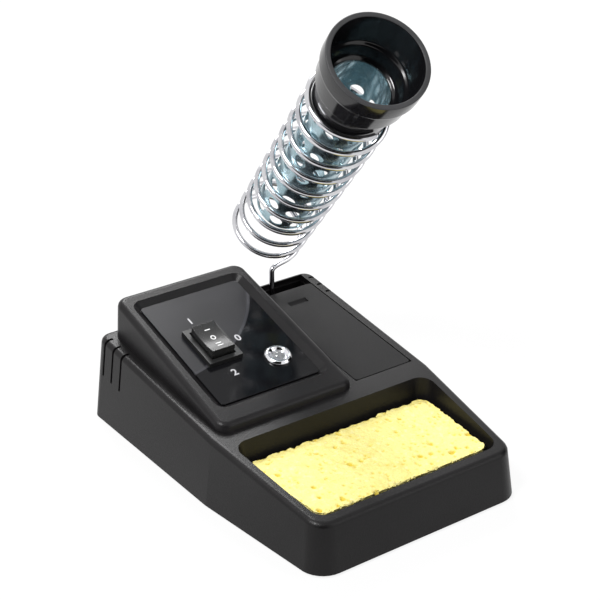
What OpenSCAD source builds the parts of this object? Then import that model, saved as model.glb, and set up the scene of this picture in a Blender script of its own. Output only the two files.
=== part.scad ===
// Soldering iron station: a drafted moulded base with a sponge tray, a covered storage well,
// a sloped control box with a three-position rocker, and a sprung wire holder for the iron.
// Heights inside the base are counted from its lower edge, and depths from its front edge.

/* [Base] */
// Depth of the base from front to rear
base_d = 145.5; // [118:0.5:180]
// Width of the base at its rear
rear_w = 111; // [108:0.5:135]
// Width of the base where the tray ends
mid_w = 107.5; // [106:0.5:132]
// Width of the base at its front
front_w = 95; // [90:0.5:120]
// Distance from the front edge to the widest part of the tray
mid_y = 62; // [52:0.5:75]
// Height of the deck at the rear
rear_h = 34.5; // [32:0.5:42]
// Height of the deck where the tray ends
mid_h = 26.5; // [25:0.5:32]
// Height of the front rim
front_h = 19; // [18:0.5:24]
// Inward lean of the side walls per millimetre of height
lean = 0.12; // [0.05:0.01:0.15]
// Wall thickness of the base
wall = 2.2; // [1.8:0.1:2.6]
// Radius of the front corners at the lower edge
corner_front_r = 10; // [8:0.5:14]
// Radius of the rounded top edges of the base
edge_r = 2.5; // [1.5:0.1:3]

/* [Tray and sponge] */
// Width of the rim beside the tray and the storage well
rim_w = 4.4; // [3.5:0.1:6]
// Height of the tray floor
tray_floor = 8.4; // [8.2:0.1:10]
// Corner radius of the tray at its rim
tray_r = 6; // [4:0.5:8]
// Distance from the widest part of the base to the rear of the tray
tray_back = 5; // [4:0.5:8]
// Thickness of the sponge
sponge_t = 10.2; // [8:0.2:12]
// Gap between the sponge and the tray wall
sponge_gap = 0.7; // [0.5:0.1:2]

/* [Storage well] */
// Thickness of the lid
lid_t = 2.2; // [1.6:0.1:3]
// Gap around the lid
lid_gap = 0.4; // [0.35:0.05:0.8]
// Width of the ledge that the lid rests on
lid_ledge = 2; // [1.5:0.1:3]
// Height of the floor of the storage well
well_floor = 8.4; // [8.2:0.1:12]

/* [Control box] */
// Width of the control box
box_w = 61.4; // [56:0.2:66]
// Width of the ledge between the box and the side of the base
box_ledge = 4.8; // [4:0.1:7]
// Height of the box's front wall above the deck
box_front_rise = 3.1; // [2.5:0.1:6]
// Slope of the panel in degrees
panel_a = 14.2; // [10:0.2:18]
// Wall thickness of the box
box_wall = 2; // [1.6:0.1:2.4]
// Depth of the recess around the label
recess_d = 2.2; // [1.2:0.1:2.6]
// Width of the label plate
label_w = 45; // [40:0.5:48]
// Length of the label plate along the slope
label_l = 61.5; // [58:0.5:64]
// Distance from the box's front to the label
label_front = 12.4; // [10:0.2:15]

/* [Rocker switch] */
// Length of the switch bezel
switch_l = 21; // [20:0.5:23]
// Width of the switch bezel
switch_w = 15; // [14:0.5:16]

/* [Indicator] */
// Diameter of the indicator's flange
lamp_d = 11; // [10:0.2:13]
// Diameter of the indicator's threaded body
lamp_body_d = 7.8; // [7.4:0.1:8.2]

/* [Iron holder] */
// Diameter of the spring wire
wire_d = 2.3; // [2:0.1:2.6]
// Radius of the coil's first turn to the middle of the wire
coil_r = 15.1; // [14.6:0.1:16]
// Growth of the coil's radius from its first turn to its last
coil_flare = 1.2; // [0:0.1:2]
// Rise of the coil for each turn
coil_pitch = 11.9; // [8:0.1:13]
// Number of turns
coil_turns = 9.9; // [7:0.1:11]
// Lean of the holder from the vertical in degrees
holder_lean = 43; // [30:1:48]
// Turn of the holder about its stem at rest in degrees
holder_turn = -9.8; // [-20:0.1:20]
// Height of the straight stem above the base's lower edge
stem_top = 42; // [40:0.5:50]
// Outer diameter of the perforated tube
tube_d = 23.5; // [20:0.1:23.9]
// Thickness of the tube's sheet
tube_t = 0.5; // [0.4:0.1:0.8]
// Diameter of the tube's round holes
perf_d = 5.6; // [4:0.1:6]
// Outer diameter of the cup's mouth
cup_d = 38.6; // [36:0.2:44]

/* [Lead entries] */
// Bore of the mains lead's grommet
mains_bore = 6.6; // [5:0.1:8]
// Bore of the iron lead's grommet
iron_bore = 5.2; // [4:0.1:7]

/* [Fixings] */
// Shaft diameter of the self-tapping screws
screw_d = 3; // [2.6:0.1:3.2]
// Height of the feet below the base
foot_h = 1; // [0.8:0.1:2]
// Diameter of the feet
foot_d = 12; // [9:0.5:13]

/* [Hidden] */

$fn = 48;
round_fn = 32;          // facets on the shapes inside a hull
puck_fn = 24;           // facets on a disc with a rounded rim
eps = 0.01;             // thickness of a disc that only shapes a hull
cut = 1;                // how far a cutter runs past the face it opens
far = 80;               // size that runs clear of the whole base
fit_gap = 0.05;         // radial clearance of a turning fit
slack = 0.3;            // clearance between pieces that are laid together

// ---- sizes of the base ----
corner_mid_r = 6;
corner_rear_r = 5;
cover_t = 1.8;
floor_t = 2;            // thickness of the tray's and the well's floors
tray_wall = 1.8;
tray_lean = 0.06;       // draft of the tray's walls
tray_floor_edge = 2.5;  // radius where the tray's walls meet its floor
front_a = atan((mid_h - front_h) / mid_y);
deck_a = atan((rear_h - mid_h) / (base_d - mid_y));

// The coil overhangs the rear edge, and the whole footprint is centred on the origin.
coil_overhang = 14.2;
front_y = -(base_d + coil_overhang) / 2;

function mix(a, b, t) = a + (b - a) * t;
function half_w(y) = y < mid_y ? mix(front_w, mid_w, y / mid_y) / 2
    : mix(mid_w, rear_w, (y - mid_y) / (base_d - mid_y)) / 2;
function deck_z(y) = y < mid_y ? mix(front_h, mid_h, y / mid_y)
    : mix(mid_h, rear_h, (y - mid_y) / (base_d - mid_y));
function half_top(y) = half_w(y) - lean * deck_z(y);

// ---- sizes of the well and the slot behind it ----
box_rear_gap = 2.7;     // from the control box to the rear edge
well_side_gap = 2.9;    // from the control box to the well
well_front_gap = 4.2;   // from the tray's end of the deck to the well
stem_inset = 10;        // from the slot's side to the stem
box_x0 = -half_top(mid_y) + box_ledge;
box_x1 = box_x0 + box_w;
box_y0 = mid_y;
box_y1 = base_d - box_rear_gap;
box_mid_x = (box_x0 + box_x1) / 2;
well_x0 = box_x1 + well_side_gap;
well_x1 = half_top(mid_y) - rim_w;
well_y0 = mid_y + well_front_gap;
slot_y1 = base_d - wall - 1;
slot_w = 6.6;           // width of the open slot that the stem stands in
slot_floor = 20;
slot_step = 0.7;        // how far the lid's recess is wider than the slot
well_y1 = slot_y1 - slot_w;
partition_t = 1.8;
lid_x0 = well_x0 + lid_gap;
lid_x1 = well_x1 - lid_gap;
lid_y0 = well_y0 + lid_gap;
stem_x = well_x0 + stem_inset;
stem_y = slot_y1 - slot_w / 2;

// ---- vents ----
vent_w = 1.2;
vent_pitch = 6.3;
vent_count = 3;
vent_h = 15;
vent_rear = 6.5;        // distance from the rear edge to the first vent
vent_reach = 3.8;       // how far a vent runs in over the ledge

// ---- fixings ----
head_d = 5.6;
head_t = 1.2;
boss_d = 6.4;
pilot_d = screw_d + 0.1;
housing_screw_l = 9;
screw_at = [[-40, mid_y + 1.2], [40, mid_y + 1.2], [-44, base_d - 7], [stem_x + 12, base_d - 7]];
foot_at = [[-36, 13], [36, 13], [-44, base_d - 18], [44, base_d - 18]];
foot_sink = 1;          // depth of the recess that a foot is bonded into

// ---- control box ----
box_corner_r = 5;
box_edge_r = 2.6;
box_lean = 0.08;
box_front_z = deck_z(box_y0) + box_front_rise;
label_t = 0.8;
recess_slope = 3;       // width of the recess's sloping walls
label_x0 = box_mid_x - label_w / 2;
opening_margin = [12, 6];   // flange of the deck left under the box, across and along
box_boss_inset = 8;
pilot_front = 3.1;      // height of the screw holes above the deck, front and rear
pilot_rear = 11.5;
box_screw_at = [[box_x0 + box_boss_inset, box_y0 + box_boss_inset],
    [box_x1 - box_boss_inset, box_y0 + box_boss_inset],
    [box_x0 + box_boss_inset, box_y1 - box_boss_inset],
    [box_x1 - box_boss_inset, box_y1 - box_boss_inset]];

// ---- switch, measured in the panel's plane: u across, v up the slope from the label's front ----
switch_u = 14.3;
switch_v = 30.2;
bezel_t = 2;
body_l = switch_l - 1.9;
body_w = switch_w - 2.1;
body_h = 12.5;
body_wall = 1;
rocker_l = body_l - 2 * body_wall - 1.2;
rocker_w = body_w - 2 * body_wall - 0.8;
rocker_rise = 3.6;      // height of the rocker's ends above the bezel
rocker_dish = 1.1;      // depth of the hollow between its ends
rocker_drop = 5.5;      // depth of its rounded foot below the bezel's top
pivot_d = 2;
pivot_drop = 2.6;
terminal_w = 4.8;
terminal_t = 0.8;
terminal_l = 8;
terminal_pitch = 7;
terminal_sink = 1.6;    // length of a terminal inside the switch body
contact_t = 0.6;
plunger_d = 2.2;

// ---- indicator ----
lamp_u = 34.7;
lamp_v = 14.2;
flange_t = 1.6;
lamp_body_l = 11;
lens_d = 5;
lamp_bulb_d = 5;
nut_flats = 11;
nut_t = 2.4;
washer_t = 0.8;

// ---- circuit board ----
board_l = 34;
board_w = 48;
board_t = 1.6;
board_x0 = box_x0 + 6;
board_y0 = box_y0 + 12;
standoff_h = 5;
standoff_d = 5.4;
board_inset = 3.6;
board_top = cover_t + standoff_h + board_t;
block_l = 21;
block_w = 9;
block_h = 9;
block_ways = 3;

// ---- holder ----
tube_r = tube_d / 2;
wire_r = wire_d / 2;
start_a = -45;          // angle of the coil's lowest end, from the right-hand side
coil_x = 3.1;           // place of the coil's axis beside and behind the stem
coil_y = 5.9;
coil_z = 61.9;
start_s = -10.2;        // distance of the coil's lowest end along its axis
ring_step = 18;         // degrees of coil between two rings of the swept wire
wire_sides = 10;
tube_s0 = 19;           // the tube's lower end along the axis
cup_grip = 8;           // length of the cup's neck inside the coil
cup_neck_l = 13.5;
cup_taper_l = 11;
cup_band_l = 8;
coil_end_s = start_s + coil_pitch * coil_turns;
cup_neck_s = coil_end_s - cup_grip + wire_r + 1;
cup_mouth_s = cup_neck_s + cup_neck_l + cup_taper_l + cup_band_l;
tube_s1 = cup_neck_s + cup_grip + 4;
cup_floor = cup_grip + 3.4;
cup_wall = 2;
grip_r = coil_r + coil_flare * (1 - cup_grip / (coil_pitch * coil_turns));
neck_r = grip_r - wire_r - 0.1;
cup_r = cup_d / 2;
shoulder_r = cup_r - 1.7;
perf_rows = 9;
perf_round = 8;
clip_t = 0.8;
bush_r = 2.7;
bush_flange_r = 3.1;
bush_flange_t = 0.8;
bush_len = 15;
stem_reach = 2.6;       // how far the stem runs on below its bushing
stem_foot = slot_floor - bush_len - stem_reach;

// ================= shared shapes =================

// Everything below is drawn in the base's own measures, then set on its feet.
module in_base() {
    translate([0, front_y, foot_h]) children();
}

// A disc with a rounded upper rim, for hulls
module puck(r, e) {
    if (e <= eps) translate([0, 0, -eps]) disc(r);
    else translate([0, 0, -e]) rotate_extrude($fn = puck_fn) intersection() {
        translate([max(r - e, 0), 0]) circle(r = e, $fn = puck_fn);
        translate([0, -e]) square([r + e, 2 * e]);
    }
}

module disc(r) {
    cylinder(r = r, h = eps, $fn = round_fn);
}

// The drafted base without its hollows; inset and drop shrink it to the space inside
module base_form(inset = 0, drop = 0, e = edge_r, z0 = 0) {
    hull() for (s = [-1, 1]) {
        translate([s * (front_w / 2 - corner_front_r), corner_front_r, z0])
            disc(corner_front_r - inset);
        translate([s * (mid_w / 2 - corner_mid_r), mid_y, z0]) disc(corner_mid_r - inset);
        translate([s * (rear_w / 2 - corner_rear_r), base_d - corner_rear_r, z0])
            disc(corner_rear_r - inset);
        front_r = corner_front_r - lean * front_h - inset;
        translate([s * (front_w / 2 - corner_front_r), corner_front_r, deck_z(corner_front_r) - drop])
            rotate([front_a, 0, 0]) puck(front_r, e);
        mid_r = corner_mid_r - lean * mid_h - inset;
        translate([s * (mid_w / 2 - corner_mid_r), mid_y, mid_h - drop])
            rotate([deck_a, 0, 0]) puck(max(mid_r, eps), e);
        rear_r = corner_rear_r - inset;
        rear_y = base_d - corner_rear_r - e * sin(deck_a);
        translate([s * (rear_w / 2 - corner_rear_r - lean * rear_h), rear_y, deck_z(rear_y) - drop])
            rotate([deck_a, 0, 0]) puck(rear_r, e);
    }
}

// One corner column of the tray, from its floor to above the deck
module tray_column(s, y, grow) {
    x_top = half_top(y) - rim_w - tray_r;
    x_low = x_top - tray_lean * (deck_z(y) - tray_floor);
    y_shift = y < mid_y / 2 ? 1 : -1;
    low_r = tray_r - 1.5 + grow;
    translate([s * x_low, y + y_shift * tray_lean * deck_z(y), tray_floor - grow + low_r / 2])
        rotate([180, 0, 0]) translate([0, 0, low_r / 2])
        puck(low_r, min(tray_floor_edge, low_r / 2));
    translate([s * x_top, y, deck_z(y) + 4]) disc(tray_r + grow);
}

// The space of the sponge tray, or its outer wall where grow is the wall's thickness
module tray_form(grow = 0) {
    hull() for (s = [-1, 1]) {
        tray_column(s, rim_w + lean * front_h + tray_r, grow);
        tray_column(s, mid_y - tray_back - tray_r, grow);
    }
}

// The deck's own plane behind the tray: x as in the base, y up its slope
module on_deck() {
    translate([0, mid_y, mid_h]) rotate([deck_a, 0, 0]) children();
}

// The control box's top plane, from the left front corner of the label
module on_panel(u = 0, v = 0, depth = 0) {
    translate([label_x0, box_y0, box_front_z]) rotate([panel_a, 0, 0])
        translate([u, label_front + v, -depth]) children();
}

module block(x0, y0, z0, x1, y1, z1) {
    translate([x0, y0, z0]) cube([x1 - x0, y1 - y0, z1 - z0]);
}

// A self-tapping screw with a cross slot, its head on z = 0 and its shaft upwards
module screw(length, shaft = screw_d) {
    difference() {
        union() {
            translate([0, 0, -head_t]) cylinder(d = head_d, h = head_t);
            cylinder(d = shaft, h = length);
        }
        for (a = [0, 90]) rotate([0, 0, a])
            translate([-head_d / 3, -0.35, -head_t - cut]) cube([head_d * 2 / 3, 0.7, cut + 0.7]);
    }
}

// ---- a round wire swept along a list of points ----
function unit(v) = v / norm(v);
function heading(p, i) = unit(p[min(i + 1, len(p) - 1)] - p[max(i - 1, 0)]);
function turned(v, t) = unit(v - (v * t) * t);
function carried(p, v, i) = i == 0 ? [turned(v, heading(p, 0))]
    : let (before = carried(p, v, i - 1)) concat(before, [turned(before[i - 1], heading(p, i))]);
module swept(p, r, sides, side = [0, 0, 1]) {
    across = carried(p, side, len(p) - 1);
    n = len(p);
    rings = [for (i = [0:n - 1]) let (u = across[i], w = cross(heading(p, i), u))
        for (k = [0:sides - 1]) p[i] + r * (cos(360 * k / sides) * u + sin(360 * k / sides) * w)];
    walls = [for (i = [0:n - 2]) for (k = [0:sides - 1])
        let (a = i * sides + k, b = i * sides + (k + 1) % sides)
        for (f = [[a, a + sides, b + sides], [a, b + sides, b]]) f];
    ends = [[for (k = [0:sides - 1]) k], [for (k = [sides - 1:-1:0]) (n - 1) * sides + k]];
    polyhedron(points = rings, faces = concat(walls, ends), convexity = 10);
}
function bezier(a, b, c, d, t) = pow(1 - t, 3) * a + 3 * pow(1 - t, 2) * t * b
    + 3 * (1 - t) * t * t * c + pow(t, 3) * d;

// ================= base =================

module vents() {
    for (s = [-1, 1]) for (i = [0:vent_count - 1]) {
        y = base_d - vent_rear - i * vent_pitch;
        edge_x = half_top(y);
        translate([s * (edge_x + far / 2 - vent_reach), y, deck_z(y) - vent_h / 2 + cut])
            cube([far, vent_w, vent_h + 2 * cut], center = true);
    }
}

// The outer skin that stays behind the vents, so that a vent is a groove on the ledge
module vent_backing() {
    for (s = [-1, 1]) {
        y1 = base_d - vent_rear + 2;
        y0 = y1 - (vent_count - 1) * vent_pitch - 4;
        x1 = half_top(y0) - 1.4;
        x0 = x1 - 1.4;
        z0 = deck_z(y0) - vent_h - 2;
        block(s > 0 ? x0 : -x1, y0, z0, s > 0 ? x1 : -x0, y1, deck_z(y0) - 1.2);
    }
}

module well_walls() {
    t = tray_wall;
    block(well_x0 + lid_ledge - t, well_y0 + lid_ledge - t, well_floor - floor_t,
        well_x1 - lid_ledge + t, well_y1, far);
    block(well_x0 - t, well_y1 - partition_t, slot_floor - floor_t, well_x1 + t, base_d - wall / 2, far);
}

module well_space() {
    block(well_x0 + lid_ledge, well_y0 + lid_ledge, well_floor,
        well_x1 - lid_ledge, well_y1 - partition_t, far);
    block(well_x0 + slot_step, well_y1, slot_floor, well_x1 - slot_step, slot_y1, far);
    on_deck() block(well_x0, (well_y0 - mid_y) / cos(deck_a), -lid_t - 0.2,
        well_x1, (slot_y1 + slot_step - mid_y) / cos(deck_a), edge_r);
}

module housing_bosses() {
    for (p = screw_at) translate([p[0], p[1], cover_t + slack])
        cylinder(d = boss_d, h = deck_z(p[1]) - cover_t - wall / 2);
    translate([stem_x, stem_y, slot_floor - bush_len]) cylinder(r = bush_r + 2, h = bush_len);
}

module housing() {
    color("#343234") in_base() difference() {
        union() {
            difference() {
                base_form();
                base_form(inset = wall, drop = wall, e = eps, z0 = -cut);
            }
            intersection() {
                base_form();
                union() {
                    tray_form(tray_wall);
                    well_walls();
                    housing_bosses();
                    vent_backing();
                    for (p = box_screw_at) translate([p[0], p[1], deck_z(p[1]) - wall - 1.4])
                        cylinder(d = boss_d, h = wall);
                }
            }
        }
        tray_form();
        well_space();
        vents();
        // opening below the control box
        block(box_x0 + opening_margin[0], box_y0 + opening_margin[1], deck_z(box_y0) - 3 * wall,
            box_x1 - opening_margin[0], box_y1 - opening_margin[1], far);
        for (p = screw_at) translate([p[0], p[1], 0]) cylinder(d = pilot_d, h = housing_screw_l + 2);
        for (p = box_screw_at) translate([p[0], p[1], tray_floor])
            cylinder(d = screw_d + 0.4, h = far);
        translate([stem_x, stem_y, 0]) cylinder(r = bush_r, h = far);
        grommet_hole(mains_x, mains_bore);
        grommet_hole(iron_x, iron_bore);
    }
}

module cover_outline(t) {
    inset = wall + slack + lean * (cover_t + cut);
    hull() for (s = [-1, 1]) {
        translate([s * (front_w / 2 - corner_front_r), corner_front_r, 0])
            cylinder(r = corner_front_r - inset, h = t, $fn = round_fn);
        translate([s * (mid_w / 2 - corner_mid_r), mid_y, 0])
            cylinder(r = corner_mid_r - inset, h = t, $fn = round_fn);
        translate([s * (rear_w / 2 - corner_rear_r), base_d - corner_rear_r, 0])
            cylinder(r = corner_rear_r - inset, h = t, $fn = round_fn);
    }
}

board_screw_at = [for (i = [0, 1]) for (j = [0, 1])
    [board_x0 + mix(board_inset, board_l - board_inset, i),
    board_y0 + mix(board_inset, board_w - board_inset, j)]];

module bottom_cover() {
    color("#2a292b") in_base() difference() {
        union() {
            cover_outline(cover_t);
            for (p = board_screw_at) translate([p[0], p[1], 0])
                cylinder(d = standoff_d, h = cover_t + standoff_h);
            for (p = foot_at) translate([p[0], p[1], 0]) cylinder(d = foot_d + 3, h = cover_t + 0.6);
        }
        for (p = screw_at) translate([p[0], p[1], -cut]) {
            cylinder(d = screw_d + 0.4, h = cover_t + 2 * cut);
            cylinder(d = head_d + 0.6, h = cut + head_t + slack);
        }
        for (p = foot_at) translate([p[0], p[1], -cut]) cylinder(d = foot_d, h = cut + foot_sink);
        for (p = board_screw_at) translate([p[0], p[1], cover_t]) cylinder(d = 2, h = far);
        for (p = ballast_screw_at) translate([p[0], p[1], -cut]) cylinder(d = 2.4, h = far);
    }
}

module housing_screws() {
    color("silver") in_base() for (p = screw_at)
        translate([p[0], p[1], head_t + slack]) screw(housing_screw_l - head_t);
}

module rubber_feet() {
    color("#222222") in_base() for (p = foot_at) translate([p[0], p[1], -foot_h]) rotate_extrude()
        polygon([[0, 0], [foot_d / 2 - 1, 0], [foot_d / 2 - 0.4, foot_h * 0.6],
            [foot_d / 2 - 0.4, foot_h + foot_sink], [0, foot_h + foot_sink]]);
}

// ---- ballast ----
ballast_t = 2.4;
ballast_x = 34;
ballast_y0 = 21;
ballast_y1 = mid_y - 8;
ballast_screw_at = [for (s = [-1, 1]) [s * (ballast_x - 6), (ballast_y0 + ballast_y1) / 2]];

module ballast_plate() {
    color("#8d9094") in_base() difference() {
        block(-ballast_x, ballast_y0, cover_t, ballast_x, ballast_y1, cover_t + ballast_t);
        for (p = ballast_screw_at) translate([p[0], p[1], 0]) cylinder(d = 3.2, h = far);
    }
}

module ballast_screws() {
    color("silver") in_base() for (p = ballast_screw_at)
        translate([p[0], p[1], cover_t + ballast_t]) rotate([180, 0, 0])
            screw(ballast_t + cover_t - 0.2, 2.4);
}

// ---- lead grommets in the rear wall ----
mains_x = -32;
iron_x = -6;
grommet_z = 14;
grommet_lip = 1.6;
grommet_len = 7;

function grommet_r(bore) = bore / 2 + 1.8;

module grommet_hole(x, bore) {
    translate([x, base_d - 2 * wall, grommet_z]) rotate([-90, 0, 0])
        cylinder(r = grommet_r(bore) + 0.1, h = 4 * wall);
}

module grommet(x, bore) {
    groove = wall + 0.1;
    r = grommet_r(bore);
    translate([x, base_d + grommet_lip, grommet_z]) rotate([90, 0, 0]) rotate_extrude()
        polygon([[bore / 2, 0], [r + 1, 0], [r + 1.8, grommet_lip - 0.4], [r + 1.8, grommet_lip],
            [r, grommet_lip], [r, grommet_lip + groove], [r + 1.2, grommet_lip + groove],
            [r + 0.4, grommet_len], [bore / 2, grommet_len]]);
}

module mains_grommet() {
    color("#1c1c1c") in_base() grommet(mains_x, mains_bore);
}

module iron_lead_grommet() {
    color("#1c1c1c") in_base() grommet(iron_x, iron_bore);
}

module stem_bushing() {
    color("#b9975b") in_base() translate([stem_x, stem_y, 0]) difference() {
        union() {
            translate([0, 0, slot_floor - bush_len]) cylinder(r = bush_r, h = bush_len);
            translate([0, 0, slot_floor]) cylinder(r = bush_flange_r, h = bush_flange_t);
        }
        translate([0, 0, slot_floor - bush_len - cut]) cylinder(r = wire_r + fit_gap, h = far);
    }
}

// ---- what lies in the base ----
lid_v0 = (lid_y0 - mid_y) / cos(deck_a);
lid_v1 = (well_y1 - mid_y) / cos(deck_a) - lid_gap;
scoop_w = 9;
scoop_l = 5;

module storage_lid() {
    color("#464646") in_base() difference() {
        union() {
            on_deck() hull() {
                for (x = [lid_x0 + 1.5, lid_x1 - 1.5]) for (v = [lid_v0 + 1.5, lid_v1 - 1.5])
                    translate([x, v, -lid_t]) cylinder(r = 1.5, h = lid_t, $fn = round_fn);
            }
            // ribs that keep the lid in the well
            for (x = [well_x0 + lid_ledge + 0.5, well_x1 - lid_ledge - 1.9]) on_deck()
                block(x, lid_v0 + 6, -lid_t - 2.6, x + 1.4, lid_v1 - 8, -lid_t + 0.1);
        }
        on_deck() translate([(lid_x0 + lid_x1) / 2, lid_v1 - 9, 0]) intersection() {
            cube([scoop_w, scoop_l, 2], center = true);
            translate([0, -scoop_l / 2, 4.6]) rotate([0, 90, 0])
                cylinder(r = 5.6, h = scoop_w, center = true);
        }
    }
}

module sponge() {
    lift = 0.3;
    g = sponge_gap;
    color("#f2e27a") in_base() hull() for (s = [-1, 1]) {
        for (y = [rim_w + lean * front_h + tray_r, mid_y - tray_back - tray_r]) {
            x = half_top(y) - rim_w - tray_r - tray_lean * (deck_z(y) - tray_floor);
            k = y < mid_y / 2 ? 1 : -1;
            for (z = [0, sponge_t - 1]) translate([s * (x - 0.6),
                y + k * (tray_lean * deck_z(y) + 0.6), tray_floor + lift + z])
                cylinder(r = (z == 0 ? tray_r - 3 : tray_r - 1.5) - g + 0.6, h = 1, $fn = round_fn);
        }
    }
}

// ================= control box =================

// inset and drop shrink the box to the space inside it
module box_form(inset = 0, drop = 0, e = box_edge_r) {
    hull() for (x = [box_x0 + box_corner_r, box_x1 - box_corner_r])
        for (y = [box_y0 + box_corner_r, box_y1 - box_corner_r]) {
            top = box_front_z + (y - box_y0) * tan(panel_a) - drop;
            k = box_lean * (top - deck_z(y));
            sx = x < box_mid_x ? 1 : -1;
            sy = y < (box_y0 + box_y1) / 2 ? 1 : -1;
            translate([x, y, deck_z(y) - 4]) disc(box_corner_r - inset);
            translate([x + sx * k, y + sy * k / 2, top]) rotate([panel_a, 0, 0])
                puck(box_corner_r - inset, e);
        }
}

module label_outline(grow, h) {
    r = 1.5;
    hull() for (u = [r, label_w - r]) for (v = [r, label_l - r])
        translate([u, v, 0]) cylinder(r = r + grow, h = h, $fn = round_fn);
}

module below_deck() {
    on_deck() translate([-2 * far, -2 * far, -far]) cube([4 * far, 4 * far, far]);
}

module control_box() {
    color("#38363a") in_base() difference() {
        union() {
            difference() {
                box_form();
                box_form(inset = box_wall, drop = box_wall + recess_d, e = eps);
            }
            intersection() {
                box_form();
                for (p = box_screw_at) translate([p[0], p[1], 0]) cylinder(d = boss_d, h = far);
            }
        }
        below_deck();
        // recess with sloping walls around the label
        on_panel() hull() {
            translate([0, 0, -recess_d]) label_outline(0.2, eps);
            label_outline(recess_slope, eps);
            translate([0, 0, cut]) label_outline(recess_slope, eps);
        }
        on_panel(switch_u, switch_v) cube([body_w + 0.2, body_l + 0.2, far / 2], center = true);
        on_panel(lamp_u, lamp_v, far / 4) cylinder(d = lamp_body_d + 0.2, h = far / 2);
        for (p = box_screw_at) translate([p[0], p[1], 0]) cylinder(d = pilot_d, h = deck_z(p[1])
            + (p[1] > box_y0 + box_w / 2 ? pilot_rear : pilot_front));
    }
}

module control_box_screws() {
    color("silver") in_base() for (p = box_screw_at)
        translate([p[0], p[1], deck_z(p[1]) - wall - 1.4 - 0.05]) screw(6.4);
}

module label_plate() {
    color("#23252b") in_base() on_panel(0, 0, recess_d) difference() {
        label_outline(0, label_t);
        translate([switch_u, switch_v, 0]) cube([body_w + 0.2, body_l + 0.2, far], center = true);
        translate([lamp_u, lamp_v, -cut]) cylinder(d = lamp_body_d + 0.2, h = far / 2);
    }
}

// ---- rocker switch: z = 0 is the label's top face ----
module on_switch() {
    in_base() on_panel(switch_u, switch_v, recess_d - label_t) children();
}

module switch_body() {
    color("#111111") on_switch() difference() {
        union() {
            translate([0, 0, bezel_t / 2]) cube([switch_w, switch_l, bezel_t], center = true);
            translate([0, 0, -body_h / 2]) cube([body_w, body_l, body_h + eps], center = true);
        }
        translate([0, 0, -body_h / 2 + body_wall + bezel_t])
            cube([body_w - 2 * body_wall, body_l - 2 * body_wall, body_h + 2 * bezel_t], center = true);
        translate([0, 0, bezel_t - pivot_drop]) rotate([0, 90, 0])
            cylinder(d = pivot_d + 2 * fit_gap, h = body_w + cut, center = true);
        for (i = [-1:1]) translate([0, i * terminal_pitch, -body_h])
            cube([terminal_w, terminal_t, 3 * cut + 2], center = true);
    }
}

module switch_terminals() {
    color("#c9a868") on_switch() for (i = [-1:1])
        translate([-terminal_w / 2, i * terminal_pitch - terminal_t / 2, -body_h - terminal_l + terminal_sink])
            cube([terminal_w, terminal_t, terminal_l]);
}

// Seesaw contact that the sprung pin in the rocker's foot presses on
module switch_contact() {
    length = 2 * terminal_pitch;
    color("#c98d4a") on_switch() translate([0, 0, -body_h + 1.6]) {
        translate([-1.4, -length / 2 - 0.4, 0]) cube([2.8, length + 0.8, contact_t]);
    }
}

module rocker() {
    top = bezel_t + rocker_rise;
    half = rocker_l / 2;
    dish_r = (half * half + rocker_dish * rocker_dish) / (2 * rocker_dish);
    foot_r = half + 1;
    color("#161616") on_switch() {
        translate([-rocker_w / 2, 0, 0]) rotate([90, 0, 90]) linear_extrude(rocker_w) difference() {
            intersection() {
                translate([-half, bezel_t - rocker_drop]) square([2 * half, rocker_drop + rocker_rise]);
                translate([0, bezel_t - rocker_drop + foot_r]) circle(r = foot_r, $fn = 96);
            }
            translate([0, top + dish_r - rocker_dish]) circle(r = dish_r, $fn = 96);
        }
        translate([0, 0, bezel_t - pivot_drop]) rotate([0, 90, 0])
            cylinder(d = pivot_d, h = body_w - 0.2, center = true);
    }
}

// Sprung pin in the rocker's foot, its rounded tip just above the contact
module switch_plunger() {
    tip = -body_h + 1.6 + contact_t + slack;
    color("#b8bbbf") on_switch() {
        translate([0, 0, tip + plunger_d / 2]) sphere(d = plunger_d);
        translate([0, 0, tip + plunger_d / 2])
            cylinder(d = plunger_d, h = bezel_t - rocker_drop - 0.05 - tip - plunger_d / 2);
    }
}

// ---- indicator: z = 0 is the label's top face ----
module on_lamp() {
    in_base() on_panel(lamp_u, lamp_v, recess_d - label_t) children();
}

module indicator_bezel() {
    r = lamp_d / 2;
    color("#d8d8d8") on_lamp() rotate_extrude()
        polygon([[lens_d / 2 + 0.05, -lamp_body_l], [lamp_body_d / 2, -lamp_body_l],
            [lamp_body_d / 2, 0], [r, 0], [r, 0.7], [r - 0.9, flange_t], [r - 1.5, flange_t],
            [lens_d / 2 + 0.5, 0.5], [lens_d / 2 + 0.05, 0.5]]);
}

module indicator_lens() {
    tip_r = lens_d / 2;
    color("white", 0.5) on_lamp() {
        translate([0, 0, -4]) cylinder(r = tip_r, h = 4.2);
        intersection() {
            translate([0, 0, 0.2]) cylinder(r = tip_r, h = tip_r);
            translate([0, 0, -0.6]) sphere(r = tip_r + 0.1);
        }
    }
}

module indicator_lamp() {
    color("#ff8a5a") on_lamp() {
        translate([0, 0, -lamp_body_l]) cylinder(d = lamp_bulb_d, h = lamp_body_l - 4);
        for (s = [-1, 1]) translate([s * 1.27, 0, -lamp_body_l - 3]) cylinder(d = 0.6, h = 3 + eps);
    }
}

// How far the box's top wall reaches below the label's top face
panel_back = label_t + box_wall;

module indicator_washer() {
    color("silver") on_lamp() translate([0, 0, -panel_back - washer_t]) difference() {
        cylinder(d = nut_flats, h = washer_t);
        translate([0, 0, -cut]) cylinder(d = lamp_body_d + 0.3, h = washer_t + 2 * cut);
    }
}

module indicator_nut() {
    color("silver") on_lamp() translate([0, 0, -panel_back - washer_t - nut_t]) difference() {
        cylinder(d = nut_flats / cos(30), h = nut_t, $fn = 6);
        translate([0, 0, -cut]) cylinder(d = lamp_body_d + 0.04, h = nut_t + 2 * cut);
    }
}

// ================= circuit =================

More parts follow.
